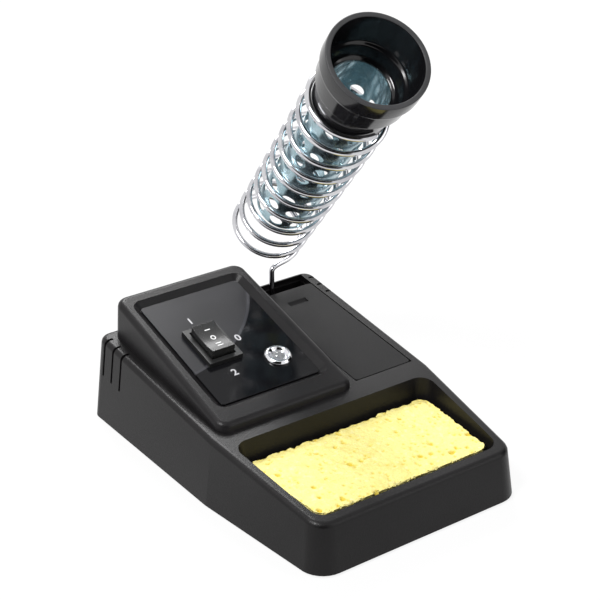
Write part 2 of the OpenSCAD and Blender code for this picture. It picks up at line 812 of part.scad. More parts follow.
block_x = board_x0 + board_l / 2;
block_y = board_y0 + block_w / 2 + 1;

module circuit_board() {
    color("#b98d4c") in_base() difference() {
        block(board_x0, board_y0, board_top - board_t, board_x0 + board_l, board_y0 + board_w, board_top);
        for (p = board_screw_at) translate([p[0], p[1], 0]) cylinder(d = 2.6, h = far);
    }
}

module board_screws() {
    color("silver") in_base() for (p = board_screw_at)
        translate([p[0], p[1], board_top]) rotate([180, 0, 0]) scale(0.8) screw(6, 2.4);
}

// An axial part with its two leads bent down to the board
module axial(x, y, body_r, body_l, lead_r) {
    axis_z = board_top + body_r + 0.4;
    translate([x, y, axis_z]) rotate([0, 90, 0]) cylinder(r = body_r, h = body_l, center = true);
    for (s = [-1, 1]) {
        translate([x + s * (body_l / 2 + 1), y, axis_z]) rotate([0, 90, 0])
            cylinder(r = lead_r, h = 2 + 2 * lead_r, center = true);
        translate([x + s * (body_l / 2 + 2), y, board_top]) cylinder(r = lead_r, h = body_r + 0.4);
    }
}

module power_diode() {
    color("#1a1a1a") in_base() axial(block_x, board_y0 + 43.5, 2.6, 9.4, 0.6);
}

module lamp_resistor() {
    color("#c8b48a") in_base() axial(block_x, board_y0 + 37, 1.3, 6.6, 0.35);
}

module terminal_block() {
    color("#3f7a4c") in_base() translate([block_x - block_l / 2, block_y - block_w / 2, board_top])
        difference() {
            cube([block_l, block_w, block_h]);
            for (i = [0:block_ways - 1]) translate([block_l * (i + 0.5) / block_ways, 0, 0]) {
                translate([0, block_w * 0.45, block_h / 2]) cylinder(d = 4, h = far);
                translate([-2, block_w * 0.7, 1.5]) cube([4, far, 4]);
            }
        }
}

module terminal_screws() {
    color("silver") in_base() for (i = [0:block_ways - 1])
        translate([block_x - block_l / 2 + block_l * (i + 0.5) / block_ways,
            block_y - block_w * 0.05, board_top + block_h / 2]) difference() {
            cylinder(d = 3.8, h = block_h / 2 - 1);
            translate([-2.5, -0.3, block_h / 2 - 1.7]) cube([5, 0.6, cut]);
        }
}

// ---- inner wires, each one curve between its two ends ----
lead_r = 0.8;

function panel_point(u, v, w) = let (y = label_front + v, z = w - recess_d + label_t)
    [label_x0 + u, box_y0 + y * cos(panel_a) - z * sin(panel_a),
    box_front_z + y * sin(panel_a) + z * cos(panel_a)];

module lead(a, b, drop_a, last, r) {
    turn = b + 0.4 * last;
    swept(concat([for (i = [0:12]) bezier(a, a - [0, 0, drop_a], b + last, turn, i / 12)], [b]),
        r, 8, [1, 0, 0]);
}

module switch_leads() {
    color("#b03a2e") in_base() for (i = [-1:1])
        lead(panel_point(switch_u, switch_v + i * terminal_pitch, -body_h - terminal_l + terminal_sink - slack),
            [block_x + i * block_l / block_ways, block_y + block_w / 2 - 1.5, board_top + 3.5],
            4, [0, 9, 0], lead_r);
}

module lamp_leads() {
    color("#d8d4c8") in_base() for (s = [-1, 1])
        lead(panel_point(lamp_u + s * 1.27, lamp_v, -lamp_body_l - 3.05),
            [board_x0 + board_l - 5 + s * 2, board_y0 + 20, board_top + 0.05], 3, [0, 0, 6], 0.5);
}

// ================= iron holder =================

module on_stem() {
    in_base() translate([stem_x, stem_y, 0]) rotate([0, 0, holder_turn]) children();
}

// The leaning axis of the coil, tube and cup
module on_axis(s = 0) {
    on_stem() translate([coil_x, coil_y, coil_z]) rotate([holder_lean, 0, 0])
        translate([0, 0, s]) children();
}

function coil_point(a) = let (turn = (a - start_a) / 360, s = start_s + coil_pitch * turn,
    r = coil_r + coil_flare * turn / coil_turns)
    [coil_x + r * cos(a),
    coil_y + r * sin(a) * cos(holder_lean) - s * sin(holder_lean),
    coil_z + r * sin(a) * sin(holder_lean) + s * cos(holder_lean)];

bend_steps = 7;
bend_grip = 6;          // reach of the bend's two ends
coil_run = [for (a = [start_a:ring_step:start_a + 360 * coil_turns]) coil_point(a)];
coil_in = unit(coil_point(start_a + 1) - coil_point(start_a));
stem_end = [0, 0, stem_top];
wire_run = concat([stem_end - [0, 0, 2]],
    [for (i = [0:bend_steps - 1]) bezier(stem_end, stem_end + [0, 0, bend_grip * 0.7],
        coil_run[0] - bend_grip * coil_in, coil_run[0], i / bend_steps)], coil_run);

module holder_wire() {
    color("#c4c6c8") on_stem() {
        translate([0, 0, stem_foot]) cylinder(r = wire_r, h = stem_top - stem_foot);
        swept(wire_run, wire_r - 0.02, wire_sides, [1, 0, 0]);
    }
}

module holder_tube() {
    length = tube_s1 - tube_s0;
    top_band = 17;      // the sheet is plain where the cup holds it
    row = (length - top_band - 4) / (perf_rows - 1);
    color("#6f8c94") on_axis(tube_s0) difference() {
        cylinder(r = tube_r, h = length);
        translate([0, 0, -cut]) cylinder(r = tube_r - tube_t, h = length + 2 * cut);
        for (j = [0:perf_rows - 1]) for (k = [0:perf_round / 2 - 1])
            translate([0, 0, 4 + j * row]) rotate([0, 0, 360 / perf_round * (k + (j % 2) / 2)])
                rotate([90, 0, 0]) cylinder(d = perf_d, h = far, center = true);
    }
}

module holder_cup() {
    neck_top = cup_neck_l;
    band = neck_top + cup_taper_l;
    mouth = band + cup_band_l;
    throat_r = tube_r + 0.05;
    color("#151515") on_axis(cup_neck_s) rotate_extrude($fn = 96)
        polygon([[throat_r, 0], [neck_r, 0], [neck_r, neck_top], [shoulder_r, neck_top + 1.2],
            [cup_r - 1.2, band - 1], [cup_r, band + 0.6], [cup_r, mouth - 1], [cup_r - 0.6, mouth],
            [cup_r - cup_wall, mouth], [cup_r - cup_wall - 0.9, neck_top + 4.7],
            [shoulder_r - 2.7, neck_top + 3.5], [neck_r - 1.4, cup_floor + 0.8],
            [throat_r, cup_floor]]);
}

module stem_clip() {
    color("#7d7f82") on_stem() translate([0, 0, slot_floor - bush_len - slack - clip_t]) difference() {
        cylinder(r = bush_r + 0.8, h = clip_t);
        translate([0, 0, -cut]) cylinder(r = wire_r, h = clip_t + 2 * cut);
    }
}

housing();
bottom_cover();
housing_screws();
rubber_feet();
ballast_plate();
ballast_screws();
mains_grommet();
iron_lead_grommet();
stem_bushing();
storage_lid();
sponge();
control_box();
control_box_screws();
label_plate();
switch_body();
switch_terminals();
switch_contact();
rocker();
switch_plunger();
indicator_bezel();
indicator_lens();
indicator_lamp();
indicator_washer();
indicator_nut();
circuit_board();
board_screws();
power_diode();
lamp_resistor();
terminal_block();
terminal_screws();
switch_leads();
lamp_leads();
holder_wire();
holder_tube();
holder_cup();
stem_clip();
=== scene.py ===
"""The looks of the soldering iron station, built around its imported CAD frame."""

import logging
import math
from dataclasses import dataclass, field
from enum import Enum

import bmesh
import bpy
import numpy as np
from mathutils import Matrix, Vector, noise
from mathutils.bvhtree import BVHTree

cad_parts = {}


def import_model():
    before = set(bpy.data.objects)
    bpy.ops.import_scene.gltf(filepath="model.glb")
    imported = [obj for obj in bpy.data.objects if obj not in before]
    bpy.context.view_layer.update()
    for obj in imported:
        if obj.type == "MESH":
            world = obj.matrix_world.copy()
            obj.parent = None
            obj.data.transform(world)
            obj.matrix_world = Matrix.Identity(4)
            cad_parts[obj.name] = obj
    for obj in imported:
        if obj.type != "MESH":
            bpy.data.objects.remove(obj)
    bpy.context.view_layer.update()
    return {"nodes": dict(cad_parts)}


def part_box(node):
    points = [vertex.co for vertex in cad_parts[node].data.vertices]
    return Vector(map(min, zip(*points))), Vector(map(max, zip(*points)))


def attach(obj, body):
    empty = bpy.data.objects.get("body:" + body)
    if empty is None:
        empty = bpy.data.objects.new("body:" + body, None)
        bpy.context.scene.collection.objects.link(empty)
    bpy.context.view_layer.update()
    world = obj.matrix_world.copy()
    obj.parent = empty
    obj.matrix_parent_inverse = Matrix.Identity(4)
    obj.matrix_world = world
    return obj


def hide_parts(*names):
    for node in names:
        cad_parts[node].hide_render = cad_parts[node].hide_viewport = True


LOG = logging.getLogger("soldering_station")
Colour = tuple[float, float, float]
Flat = tuple[float, float]
Grid = list[list[Flat]]
Settings = dict[str, object]


# ---------------------------------------------------------------- shader maths


class Term:
    """A node's output socket that takes part in arithmetic."""

    def __init__(self, graph: "Graph", socket: bpy.types.NodeSocket) -> None:
        """Keep the socket and the graph it belongs to."""
        self.graph = graph
        self.socket = socket

    def _math(self, operation: str, first: object, second: object) -> "Term":
        """Add one Math node.

        Args:
            operation: the Math node's operation.
            first: its first value or link.
            second: its second value or link.

        Returns:
            The node's result.
        """
        return self.graph.node("ShaderNodeMath", {"operation": operation}, {0: first, 1: second})

    def __add__(self, other: object) -> "Term":
        """Sum."""
        return self._math("ADD", self, other)

    def __sub__(self, other: object) -> "Term":
        """Difference."""
        return self._math("SUBTRACT", self, other)

    def __rsub__(self, other: object) -> "Term":
        """Difference from a number on the left."""
        return self._math("SUBTRACT", other, self)

    def __mul__(self, other: object) -> "Term":
        """Product."""
        return self._math("MULTIPLY", self, other)

    __radd__ = __add__
    __rmul__ = __mul__

    def ramp(self, low: float, high: float) -> "Term":
        """Smooth step from 0 at low to 1 at high.

        Args:
            low: value that gives 0.
            high: value that gives 1.

        Returns:
            The stepped value.
        """
        return self.graph.node("ShaderNodeMapRange", {"interpolation_type": "SMOOTHSTEP"},
                               {"Value": self, "From Min": low, "From Max": high})


class Graph:
    """A shader's node tree with one way of adding nodes."""

    def __init__(self, name: str, world: bpy.types.World | None = None) -> None:
        """Start an empty tree.

        Args:
            name: the new material's name.
            world: the world, where the tree is the world's.
        """
        self.owner = world or bpy.data.materials.new(name)
        self.owner.use_nodes = True
        self.tree = self.owner.node_tree
        self.tree.nodes.clear()

    def node(self, kind: str, settings: Settings | None = None,
             values: dict[str | int, object] | None = None, out: str | int = 0) -> Term:
        """Add a node.

        Args:
            kind: the node's type.
            settings: its own settings, which are made first.
            values: its sockets' values or links, by name or number.
            out: the output that is returned.

        Returns:
            The chosen output.
        """
        made = self.tree.nodes.new(kind)
        for key, value in (settings or {}).items():
            setattr(made, key, value)
        for key, value in (values or {}).items():
            socket = made.inputs[key]
            if isinstance(value, Term):
                self.tree.links.new(value.socket, socket)
            elif isinstance(value, tuple) and len(value) == 3 and socket.type == "RGBA":
                socket.default_value = (*value, 1.0)
            else:
                socket.default_value = value
        return Term(self, made.outputs[out])

    def place(self) -> Term:
        """Object coordinates, in metres."""
        return self.node("ShaderNodeTexCoord", out="Object")

    def speckle(self, scale: float, detail: float = 3.0, rough: float = 0.55,
                at: Term | None = None) -> Term:
        """Noise over the object.

        Args:
            scale: waves per metre.
            detail: octaves.
            rough: share that each octave keeps.
            at: coordinates, or the object's own.

        Returns:
            A value around a half.
        """
        return self.node("ShaderNodeTexNoise", None, {
            "Vector": at or self.place(), "Scale": scale, "Detail": detail, "Roughness": rough})

    def blend(self, share: object, first: object, second: object) -> Term:
        """Mix two colours.

        Args:
            share: how much of the second.
            first: colour at 0.
            second: colour at 1.

        Returns:
            The mixed colour.
        """
        return self.node("ShaderNodeMix", {"data_type": "RGBA"}, {0: share, 6: first, 7: second}, 2)

    def bump(self, height: Term, depth: float, strength: float = 1.0) -> Term:
        """Turn a height into a normal.

        Args:
            height: value from 0 to 1.
            depth: size of the relief in metres.
            strength: how much of it shows.

        Returns:
            The bent normal.
        """
        return self.node("ShaderNodeBump", None, {"Height": height, "Distance": depth,
                                                  "Strength": strength})

    def close(self, values: dict[str | int, object]) -> bpy.types.Material:
        """End the tree in a Principled shader.

        Args:
            values: the shader's sockets.

        Returns:
            The finished material.
        """
        self.show(self.node("ShaderNodeBsdfPrincipled", None, values))
        return self.owner

    def show(self, shader: Term, kind: str = "ShaderNodeOutputMaterial") -> None:
        """Link a shader to the output of a material or of the world."""
        made = self.tree.nodes.new(kind)
        self.tree.links.new(shader.socket, made.inputs["Surface"])


# ---------------------------------------------------------------- finishes


def scaled(colour: Colour, share: float) -> Colour:
    """Return a colour made darker or lighter."""
    return tuple(c * share for c in colour)


@dataclass(frozen=True)
class Moulding:
    """Moulded plastic or rubber with a fine spark-eroded texture."""

    name: str
    colour: Colour
    rough: float = 0.5
    grain: float = 1900.0
    depth: float = 0.00009
    gloss: float = 0.2
    drift: float = 0.16
    peaks: float = 1.35

    def material(self) -> bpy.types.Material:
        """Build the material."""
        g = Graph(self.name)
        fine = g.speckle(self.grain, 2.0, 0.6)
        broad = g.speckle(38.0, 4.0)
        base = g.blend(broad.ramp(0.3, 0.7), scaled(self.colour, 1 - self.drift),
                       scaled(self.colour, 1 + self.drift))
        return g.close({
            "Base Color": g.blend(fine.ramp(0.5, 0.8) * 0.3, base, scaled(self.colour, self.peaks)),
            "Roughness": self.rough + (broad - 0.5) * 0.14 + (fine - 0.5) * 0.1,
            "Specular IOR Level": self.gloss,
            "Normal": g.bump(fine, self.depth, 0.7)})


@dataclass(frozen=True)
class Gloss:
    """Polished thermoset or lacquer."""

    name: str
    colour: Colour
    rough: float = 0.12
    dust: float = 0.02

    def material(self) -> bpy.types.Material:
        """Build the material."""
        g = Graph(self.name)
        haze = g.speckle(90.0, 5.0, 0.6)
        specks = g.speckle(1900.0, 2.0, 0.5).ramp(0.62, 0.8) * 0.25
        dusty = tuple(c + self.dust for c in self.colour)
        return g.close({"Base Color": g.blend(specks, self.colour, dusty),
                        "Roughness": self.rough + haze.ramp(0.35, 0.75) * 0.07,
                        "Normal": g.bump(haze, 0.00003, 0.25)})


@dataclass(frozen=True)
class Metal:
    """Plated or turned metal."""

    name: str
    colour: Colour
    rough: float = 0.2
    tint: Colour | None = None
    scratch: float = 700.0

    def material(self) -> bpy.types.Material:
        """Build the material."""
        g = Graph(self.name)
        cloud = g.speckle(110.0, 4.0, 0.6)
        stretched = g.node("ShaderNodeMapping", None,
                           {"Vector": g.place(), "Scale": (1.0, 1.0, 0.08)})
        line = g.speckle(self.scratch, 3.0, 0.6, stretched)
        tint = self.tint or scaled(self.colour, 0.86)
        return g.close({"Base Color": g.blend(cloud.ramp(0.35, 0.7), self.colour, tint),
                        "Metallic": 1.0,
                        "Roughness": self.rough + line.ramp(0.4, 0.8) * 0.12,
                        "Normal": g.bump(line, 0.00002, 0.25)})


@dataclass(frozen=True)
class Cellulose:
    """Open-pored sponge, with painted shade darkening its pores and the pits of its cells, and
    darker random patches.
    """

    name: str = "cellulose_sponge"
    pale: Colour = (0.90, 0.80, 0.30)
    # darker colour: painted shade in the pores and pits, and random darker patches
    pit_shade_and_patch_colour: Colour = (0.66, 0.49, 0.04)
    fibre: Colour = (0.96, 0.91, 0.58)

    def material(self) -> bpy.types.Material:
        """Build the material."""
        g = Graph(self.name)
        pore = g.node("ShaderNodeAttribute", {"attribute_name": "pore"}, out="Fac")
        cells = g.node("ShaderNodeTexVoronoi", None, {"Vector": g.place(), "Scale": 1150.0})
        patch = g.speckle(160.0, 4.0, 0.65)
        # painted shade: the stored pore share and the Voronoi pits (low in the bump) take the
        # darker colour; the noise patches are darker at random
        pit_shade_and_patch = (pore.ramp(0.02, 0.55) * 0.85 + patch.ramp(0.45, 0.75) * 0.28
                + (1.0 - cells.ramp(0.05, 0.45)) * 0.22)
        body = g.blend(pit_shade_and_patch, self.pale, self.pit_shade_and_patch_colour)
        light = g.speckle(420.0, 3.0, 0.6).ramp(0.52, 0.75) * 0.45
        return g.close({"Base Color": g.blend(light, body, self.fibre),
                        "Roughness": 0.92, "Specular IOR Level": 0.2,
                        "Normal": g.bump(cells + patch, 0.0003, 0.5)})


@dataclass(frozen=True)
class Film:
    """Label film: matt slate on the far side of a curve, gloss black on the near side."""

    centre: tuple[float, float, float]
    radius: float
    name: str = "label_film"
    black: Colour = (0.004, 0.004, 0.005)
    slates: tuple[Colour, Colour] = ((0.008, 0.008, 0.010), (0.013, 0.013, 0.016))
    line: Colour = (0.09, 0.09, 0.1)
    soft: float = 0.0003
    line_at: tuple[float, float] = (0.0010, 0.0016)

    def material(self) -> bpy.types.Material:
        """Build the material."""
        g = Graph(self.name)
        shifted = g.node("ShaderNodeMapping", {"vector_type": "POINT"},
                         {"Vector": g.place(), "Location": tuple(-c for c in self.centre)})
        reach = g.node("ShaderNodeVectorMath", {"operation": "LENGTH"}, {0: shifted}, "Value")
        slate = 1.0 - reach.ramp(self.radius - self.soft, self.radius + self.soft)
        near, away = (self.radius + past for past in self.line_at)
        edge = (1.0 - slate) * (1.0 - reach.ramp(near, away))
        fine = g.speckle(3000.0, 2.0)
        drift = g.speckle(45.0, 2.0)
        base = g.blend(slate, self.black, g.blend(drift.ramp(0.3, 0.7), *self.slates))
        return g.close({"Base Color": g.blend(edge * 0.5, base, self.line),
                        "Roughness": 0.09 + slate * 0.26 + (fine - 0.5) * 0.06,
                        "Specular IOR Level": 0.18,
                        "Normal": g.bump(fine, 0.00002, 0.3)})


@dataclass(frozen=True)
class Clear:
    """Clear moulded lens."""

    name: str = "clear_lens"

    def material(self) -> bpy.types.Material:
        """Build the material."""
        g = Graph(self.name)
        haze = g.speckle(500.0, 3.0)
        return g.close({"Base Color": g.blend(haze, (0.86, 0.9, 0.95), (0.95, 0.97, 1.0)),
                        "Roughness": 0.03 + haze * 0.06, "IOR": 1.49,
                        "Transmission Weight": 0.85})


class Finish(Enum):
    """The station's finishes, which the sub-assemblies give to CAD nodes and to their own pieces.
    """

    BASE = Moulding("base_moulding", (0.0070, 0.0064, 0.0068), 0.36)
    BOX = Moulding("box_moulding", (0.0076, 0.0069, 0.0076), 0.35)
    LID = Moulding("lid_moulding", (0.0115, 0.0112, 0.0117), 0.46, gloss=0.1)
    COVER = Moulding("cover_moulding", (0.012, 0.012, 0.0125), 0.6)
    RUBBER = Moulding("foot_rubber", (0.016, 0.016, 0.016), 0.8, 900.0)
    SCREW = Metal("zinc_screw", (0.58, 0.58, 0.6), 0.28, (0.5, 0.48, 0.42))
    BALLAST = Metal("mill_steel", (0.42, 0.43, 0.45), 0.45)
    BRASS = Metal("turned_brass", (0.78, 0.58, 0.26), 0.25)
    SWITCH = Gloss("switch_moulding", (0.012, 0.012, 0.012), 0.3)
    ROCKER = Gloss("rocker_moulding", (0.014, 0.014, 0.014), 0.24)
    COPPER = Metal("stamped_copper", (0.8, 0.44, 0.26), 0.25)
    CHROME = Metal("bright_chrome", (0.80, 0.80, 0.82), 0.08, (0.70, 0.70, 0.73))
    LENS = Clear()
    GLOW = Gloss("lamp_body", (0.75, 0.72, 0.66), 0.25)
    BOARD = Gloss("paper_laminate", (0.42, 0.27, 0.1), 0.4)
    DIODE = Moulding("diode_moulding", (0.02, 0.02, 0.02), 0.4)
    RESISTOR = Gloss("resistor_lacquer", (0.62, 0.47, 0.28), 0.35)
    TERMINAL = Moulding("terminal_moulding", (0.05, 0.25, 0.1), 0.4)
    RED = Gloss("red_insulation", (0.5, 0.03, 0.02), 0.4)
    WHITE = Gloss("white_insulation", (0.72, 0.7, 0.64), 0.4)
    WIRE = Metal("bright_spring_wire", (0.66, 0.66, 0.68), 0.06, (0.50, 0.50, 0.53), 900.0)
    ZINC = Metal("blue_zinc", (0.26, 0.38, 0.42), 0.17, (0.40, 0.53, 0.58))
    CUP = Gloss("cup_thermoset", (0.006, 0.006, 0.007), 0.1)
    # lighter grey matt ring round the cup's mouth
    RIM = Moulding("grey_mouth_ring", (0.045, 0.045, 0.047), 0.4)
    SPONGE = Cellulose()
    INK = Gloss("white_ink", (0.82, 0.82, 0.82), 0.4)
    GREY_INK = Gloss("grey_ink", (0.5, 0.5, 0.52), 0.4)


# ---------------------------------------------------------------- mesh helpers


def linked(name: str, data: bpy.types.ID) -> bpy.types.Object:
    """Put an object that holds some data at the origin of the scene.

    Args:
        name: the object's name.
        data: its mesh, curve, camera or lamp.

    Returns:
        The linked object.
    """
    made = bpy.data.objects.new(name, data)
    bpy.context.scene.collection.objects.link(made)
    return made


def new_piece(name: str, mesh: bpy.types.Mesh,
              material: bpy.types.Material) -> bpy.types.Object:
    """Link a mesh as a piece at the origin.

    Args:
        name: the piece's name.
        mesh: its mesh, already in place.
        material: its material.

    Returns:
        The linked object.
    """
    mesh.name = name
    mesh.materials.clear()
    mesh.materials.append(material)
    return linked(name, mesh)


def plain_mesh(name: str, bm: bmesh.types.BMesh) -> bpy.types.Mesh:
    """Turn a bmesh into a mesh as it is.

    Args:
        name: the mesh's name.
        bm: the bmesh, which is freed.

    Returns:
        The mesh.
    """
    mesh = bpy.data.meshes.new(name)
    bm.to_mesh(mesh)
    bm.free()
    return mesh


def from_bmesh(bm: bmesh.types.BMesh, smooth: float = 35.0) -> bpy.types.Mesh:
    """Turn a bmesh into a mesh with outward faces, smooth up to an angle.

    Args:
        bm: the bmesh, which is freed.
        smooth: largest angle in degrees that is shaded smooth.

    Returns:
        The mesh.
    """
    bmesh.ops.recalc_face_normals(bm, faces=bm.faces[:])
    mesh = plain_mesh("mesh", bm)
    mesh.shade_smooth()
    mesh.set_sharp_from_angle(angle=math.radians(smooth))
    return mesh


def baked(piece: bpy.types.Object) -> bpy.types.Mesh:
    """Apply all of an object's modifiers.

    Args:
        piece: the object.

    Returns:
        A plain mesh of what it shows.
    """
    bpy.context.view_layer.update()
    graph = bpy.context.evaluated_depsgraph_get()
    return bpy.data.meshes.new_from_object(
        piece.evaluated_get(graph), preserve_all_data_layers=True, depsgraph=graph)


def merged_copy(node: bpy.types.Object) -> bmesh.types.BMesh:
    """Copy a CAD node as a welded bmesh.

    Args:
        node: the CAD node's object.

    Returns:
        The welded copy with flat areas joined.
    """
    bm = bmesh.new()
    bm.from_mesh(node.data)
    bmesh.ops.remove_doubles(bm, verts=bm.verts[:], dist=2e-6)
    bmesh.ops.dissolve_degenerate(bm, edges=bm.edges[:], dist=1e-6)
    bmesh.ops.dissolve_limit(bm, angle_limit=math.radians(0.6), verts=bm.verts[:],
                             edges=bm.edges[:])
    return bm


def lathe(profile: list[Flat], steps: int, place: Matrix) -> bpy.types.Mesh:
    """Turn a closed outline about the Z axis.

    Args:
        profile: (radius, height) points in metres, in order round the outline.
        steps: facets in a full turn.
        place: where the turned shape goes.

    Returns:
        The mesh, in place.
    """
    bm = bmesh.new()
    rings = []
    for i in range(steps):
        a = 2 * math.pi * i / steps
        rings.append([bm.verts.new(place @ Vector((r * math.cos(a), r * math.sin(a), z)))
                      for r, z in profile])
    count = len(profile)
    for i in range(steps):
        for k in range(count):
            near, away = rings[i], rings[(i + 1) % steps]
            bm.faces.new((near[k], away[k], away[(k + 1) % count], near[(k + 1) % count]))
    return from_bmesh(bm, 40.0)


def rounded(points: list[Flat], reach: float, steps: int = 4) -> list[Flat]:
    """Round the corners of a closed outline.

    Args:
        points: the outline's corners.
        reach: how far a rounding runs along each side at most.
        steps: points in each rounding.

    Returns:
        The rounded outline.
    """
    out = []
    for i, corner in enumerate(points):
        c = Vector(corner)
        before = Vector(points[i - 1]) - c
        after = Vector(points[(i + 1) % len(points)]) - c
        a = c + before.normalized() * min(reach, before.length * 0.4)
        b = c + after.normalized() * min(reach, after.length * 0.4)
        for k in range(steps + 1):
            t = k / steps
            p = a * (1 - t) ** 2 + c * 2 * t * (1 - t) + b * t ** 2
            out.append((p.x, p.y))
    return out


# ---------------------------------------------------------------- geometry nodes


class Builder:
    """A Geometry Nodes tree with named inputs, ending in Realize Instances and Set Material."""

    def __init__(self, name: str, inputs: dict[str, tuple[str, object]]) -> None:
        """Start the tree.

        Args:
            name: the tree's name.
            inputs: each input's name, with its socket type and first value.
        """
        self.tree = bpy.data.node_groups.new(name, "GeometryNodeTree")
        face = self.tree.interface
        face.new_socket("Geometry", in_out="INPUT", socket_type="NodeSocketGeometry")
        face.new_socket("Geometry", in_out="OUTPUT", socket_type="NodeSocketGeometry")
        self.identifiers: dict[str, str] = {}
        for key, (kind, value) in inputs.items():
            socket = face.new_socket(key, in_out="INPUT", socket_type=kind)
            if value is not None:
                socket.default_value = value
            self.identifiers[key] = socket.identifier
        self.start = self.tree.nodes.new("NodeGroupInput")
        self.end = self.tree.nodes.new("NodeGroupOutput")

    def add(self, kind: str, settings: Settings | None = None,
            links: dict[str | int, object] | None = None) -> bpy.types.Node:
        """Add a node.

        Args:
            kind: the node's type.
            settings: its own settings.
            links: its sockets' values, or output sockets to link.

        Returns:
            The node.
        """
        made = self.tree.nodes.new(kind)
        for key, value in (settings or {}).items():
            setattr(made, key, value)
        for key, value in (links or {}).items():
            if isinstance(value, bpy.types.NodeSocket):
                self.tree.links.new(value, made.inputs[key])
            else:
                made.inputs[key].default_value = value
        return made

    def value(self, name: str) -> bpy.types.NodeSocket:
        """Return one of the tree's inputs."""
        return self.start.outputs[name]

    def finish(self, shape: bpy.types.NodeSocket) -> None:
        """Realize a shape, give it its material and end the tree."""
        real = self.add("GeometryNodeRealizeInstances", None, {0: shape})
        coat = self.add("GeometryNodeSetMaterial", None,
                        {0: real.outputs[0], "Material": self.value("Finish")})
        self.tree.links.new(coat.outputs[0], self.end.inputs[0])

    def grow(self, name: str, base: bpy.types.Object, values: dict[str, object],
             material: bpy.types.Material) -> bpy.types.Object:
        """Run the tree on an object and keep the result as a plain piece.

        Args:
            name: the piece's name.
            base: the object that carries the path or points, which is removed.
            values: the tree's inputs.
            material: the piece's material.

        Returns:
            The piece.
        """
        modifier = base.modifiers.new("grow", "NODES")
        modifier.node_group = self.tree
        for key, value in {**values, "Finish": material}.items():
            modifier[self.identifiers[key]] = value
        mesh = baked(base)
        base.modifiers.remove(modifier)
        bpy.data.objects.remove(base)
        mesh.shade_smooth()
        mesh.set_sharp_from_angle(angle=math.radians(40))
        return new_piece(name, mesh, material)


def wire_tree() -> Builder:
    """Build the tree that draws a round wire along a path.

    Returns:
        The tree, with the wire's radius and sides as inputs.
    """
    b = Builder("round_wire", {"Radius": ("NodeSocketFloat", 0.001), "Sides": ("NodeSocketInt", 12),
                               "Finish": ("NodeSocketMaterial", None)})
    ring = b.add("GeometryNodeCurvePrimitiveCircle", None,
                 {"Resolution": b.value("Sides"), "Radius": b.value("Radius")})
    wire = b.add("GeometryNodeCurveToMesh", None, {
        "Curve": b.value("Geometry"), "Profile Curve": ring.outputs[0], "Fill Caps": True})
    b.finish(wire.outputs[0])
    return b


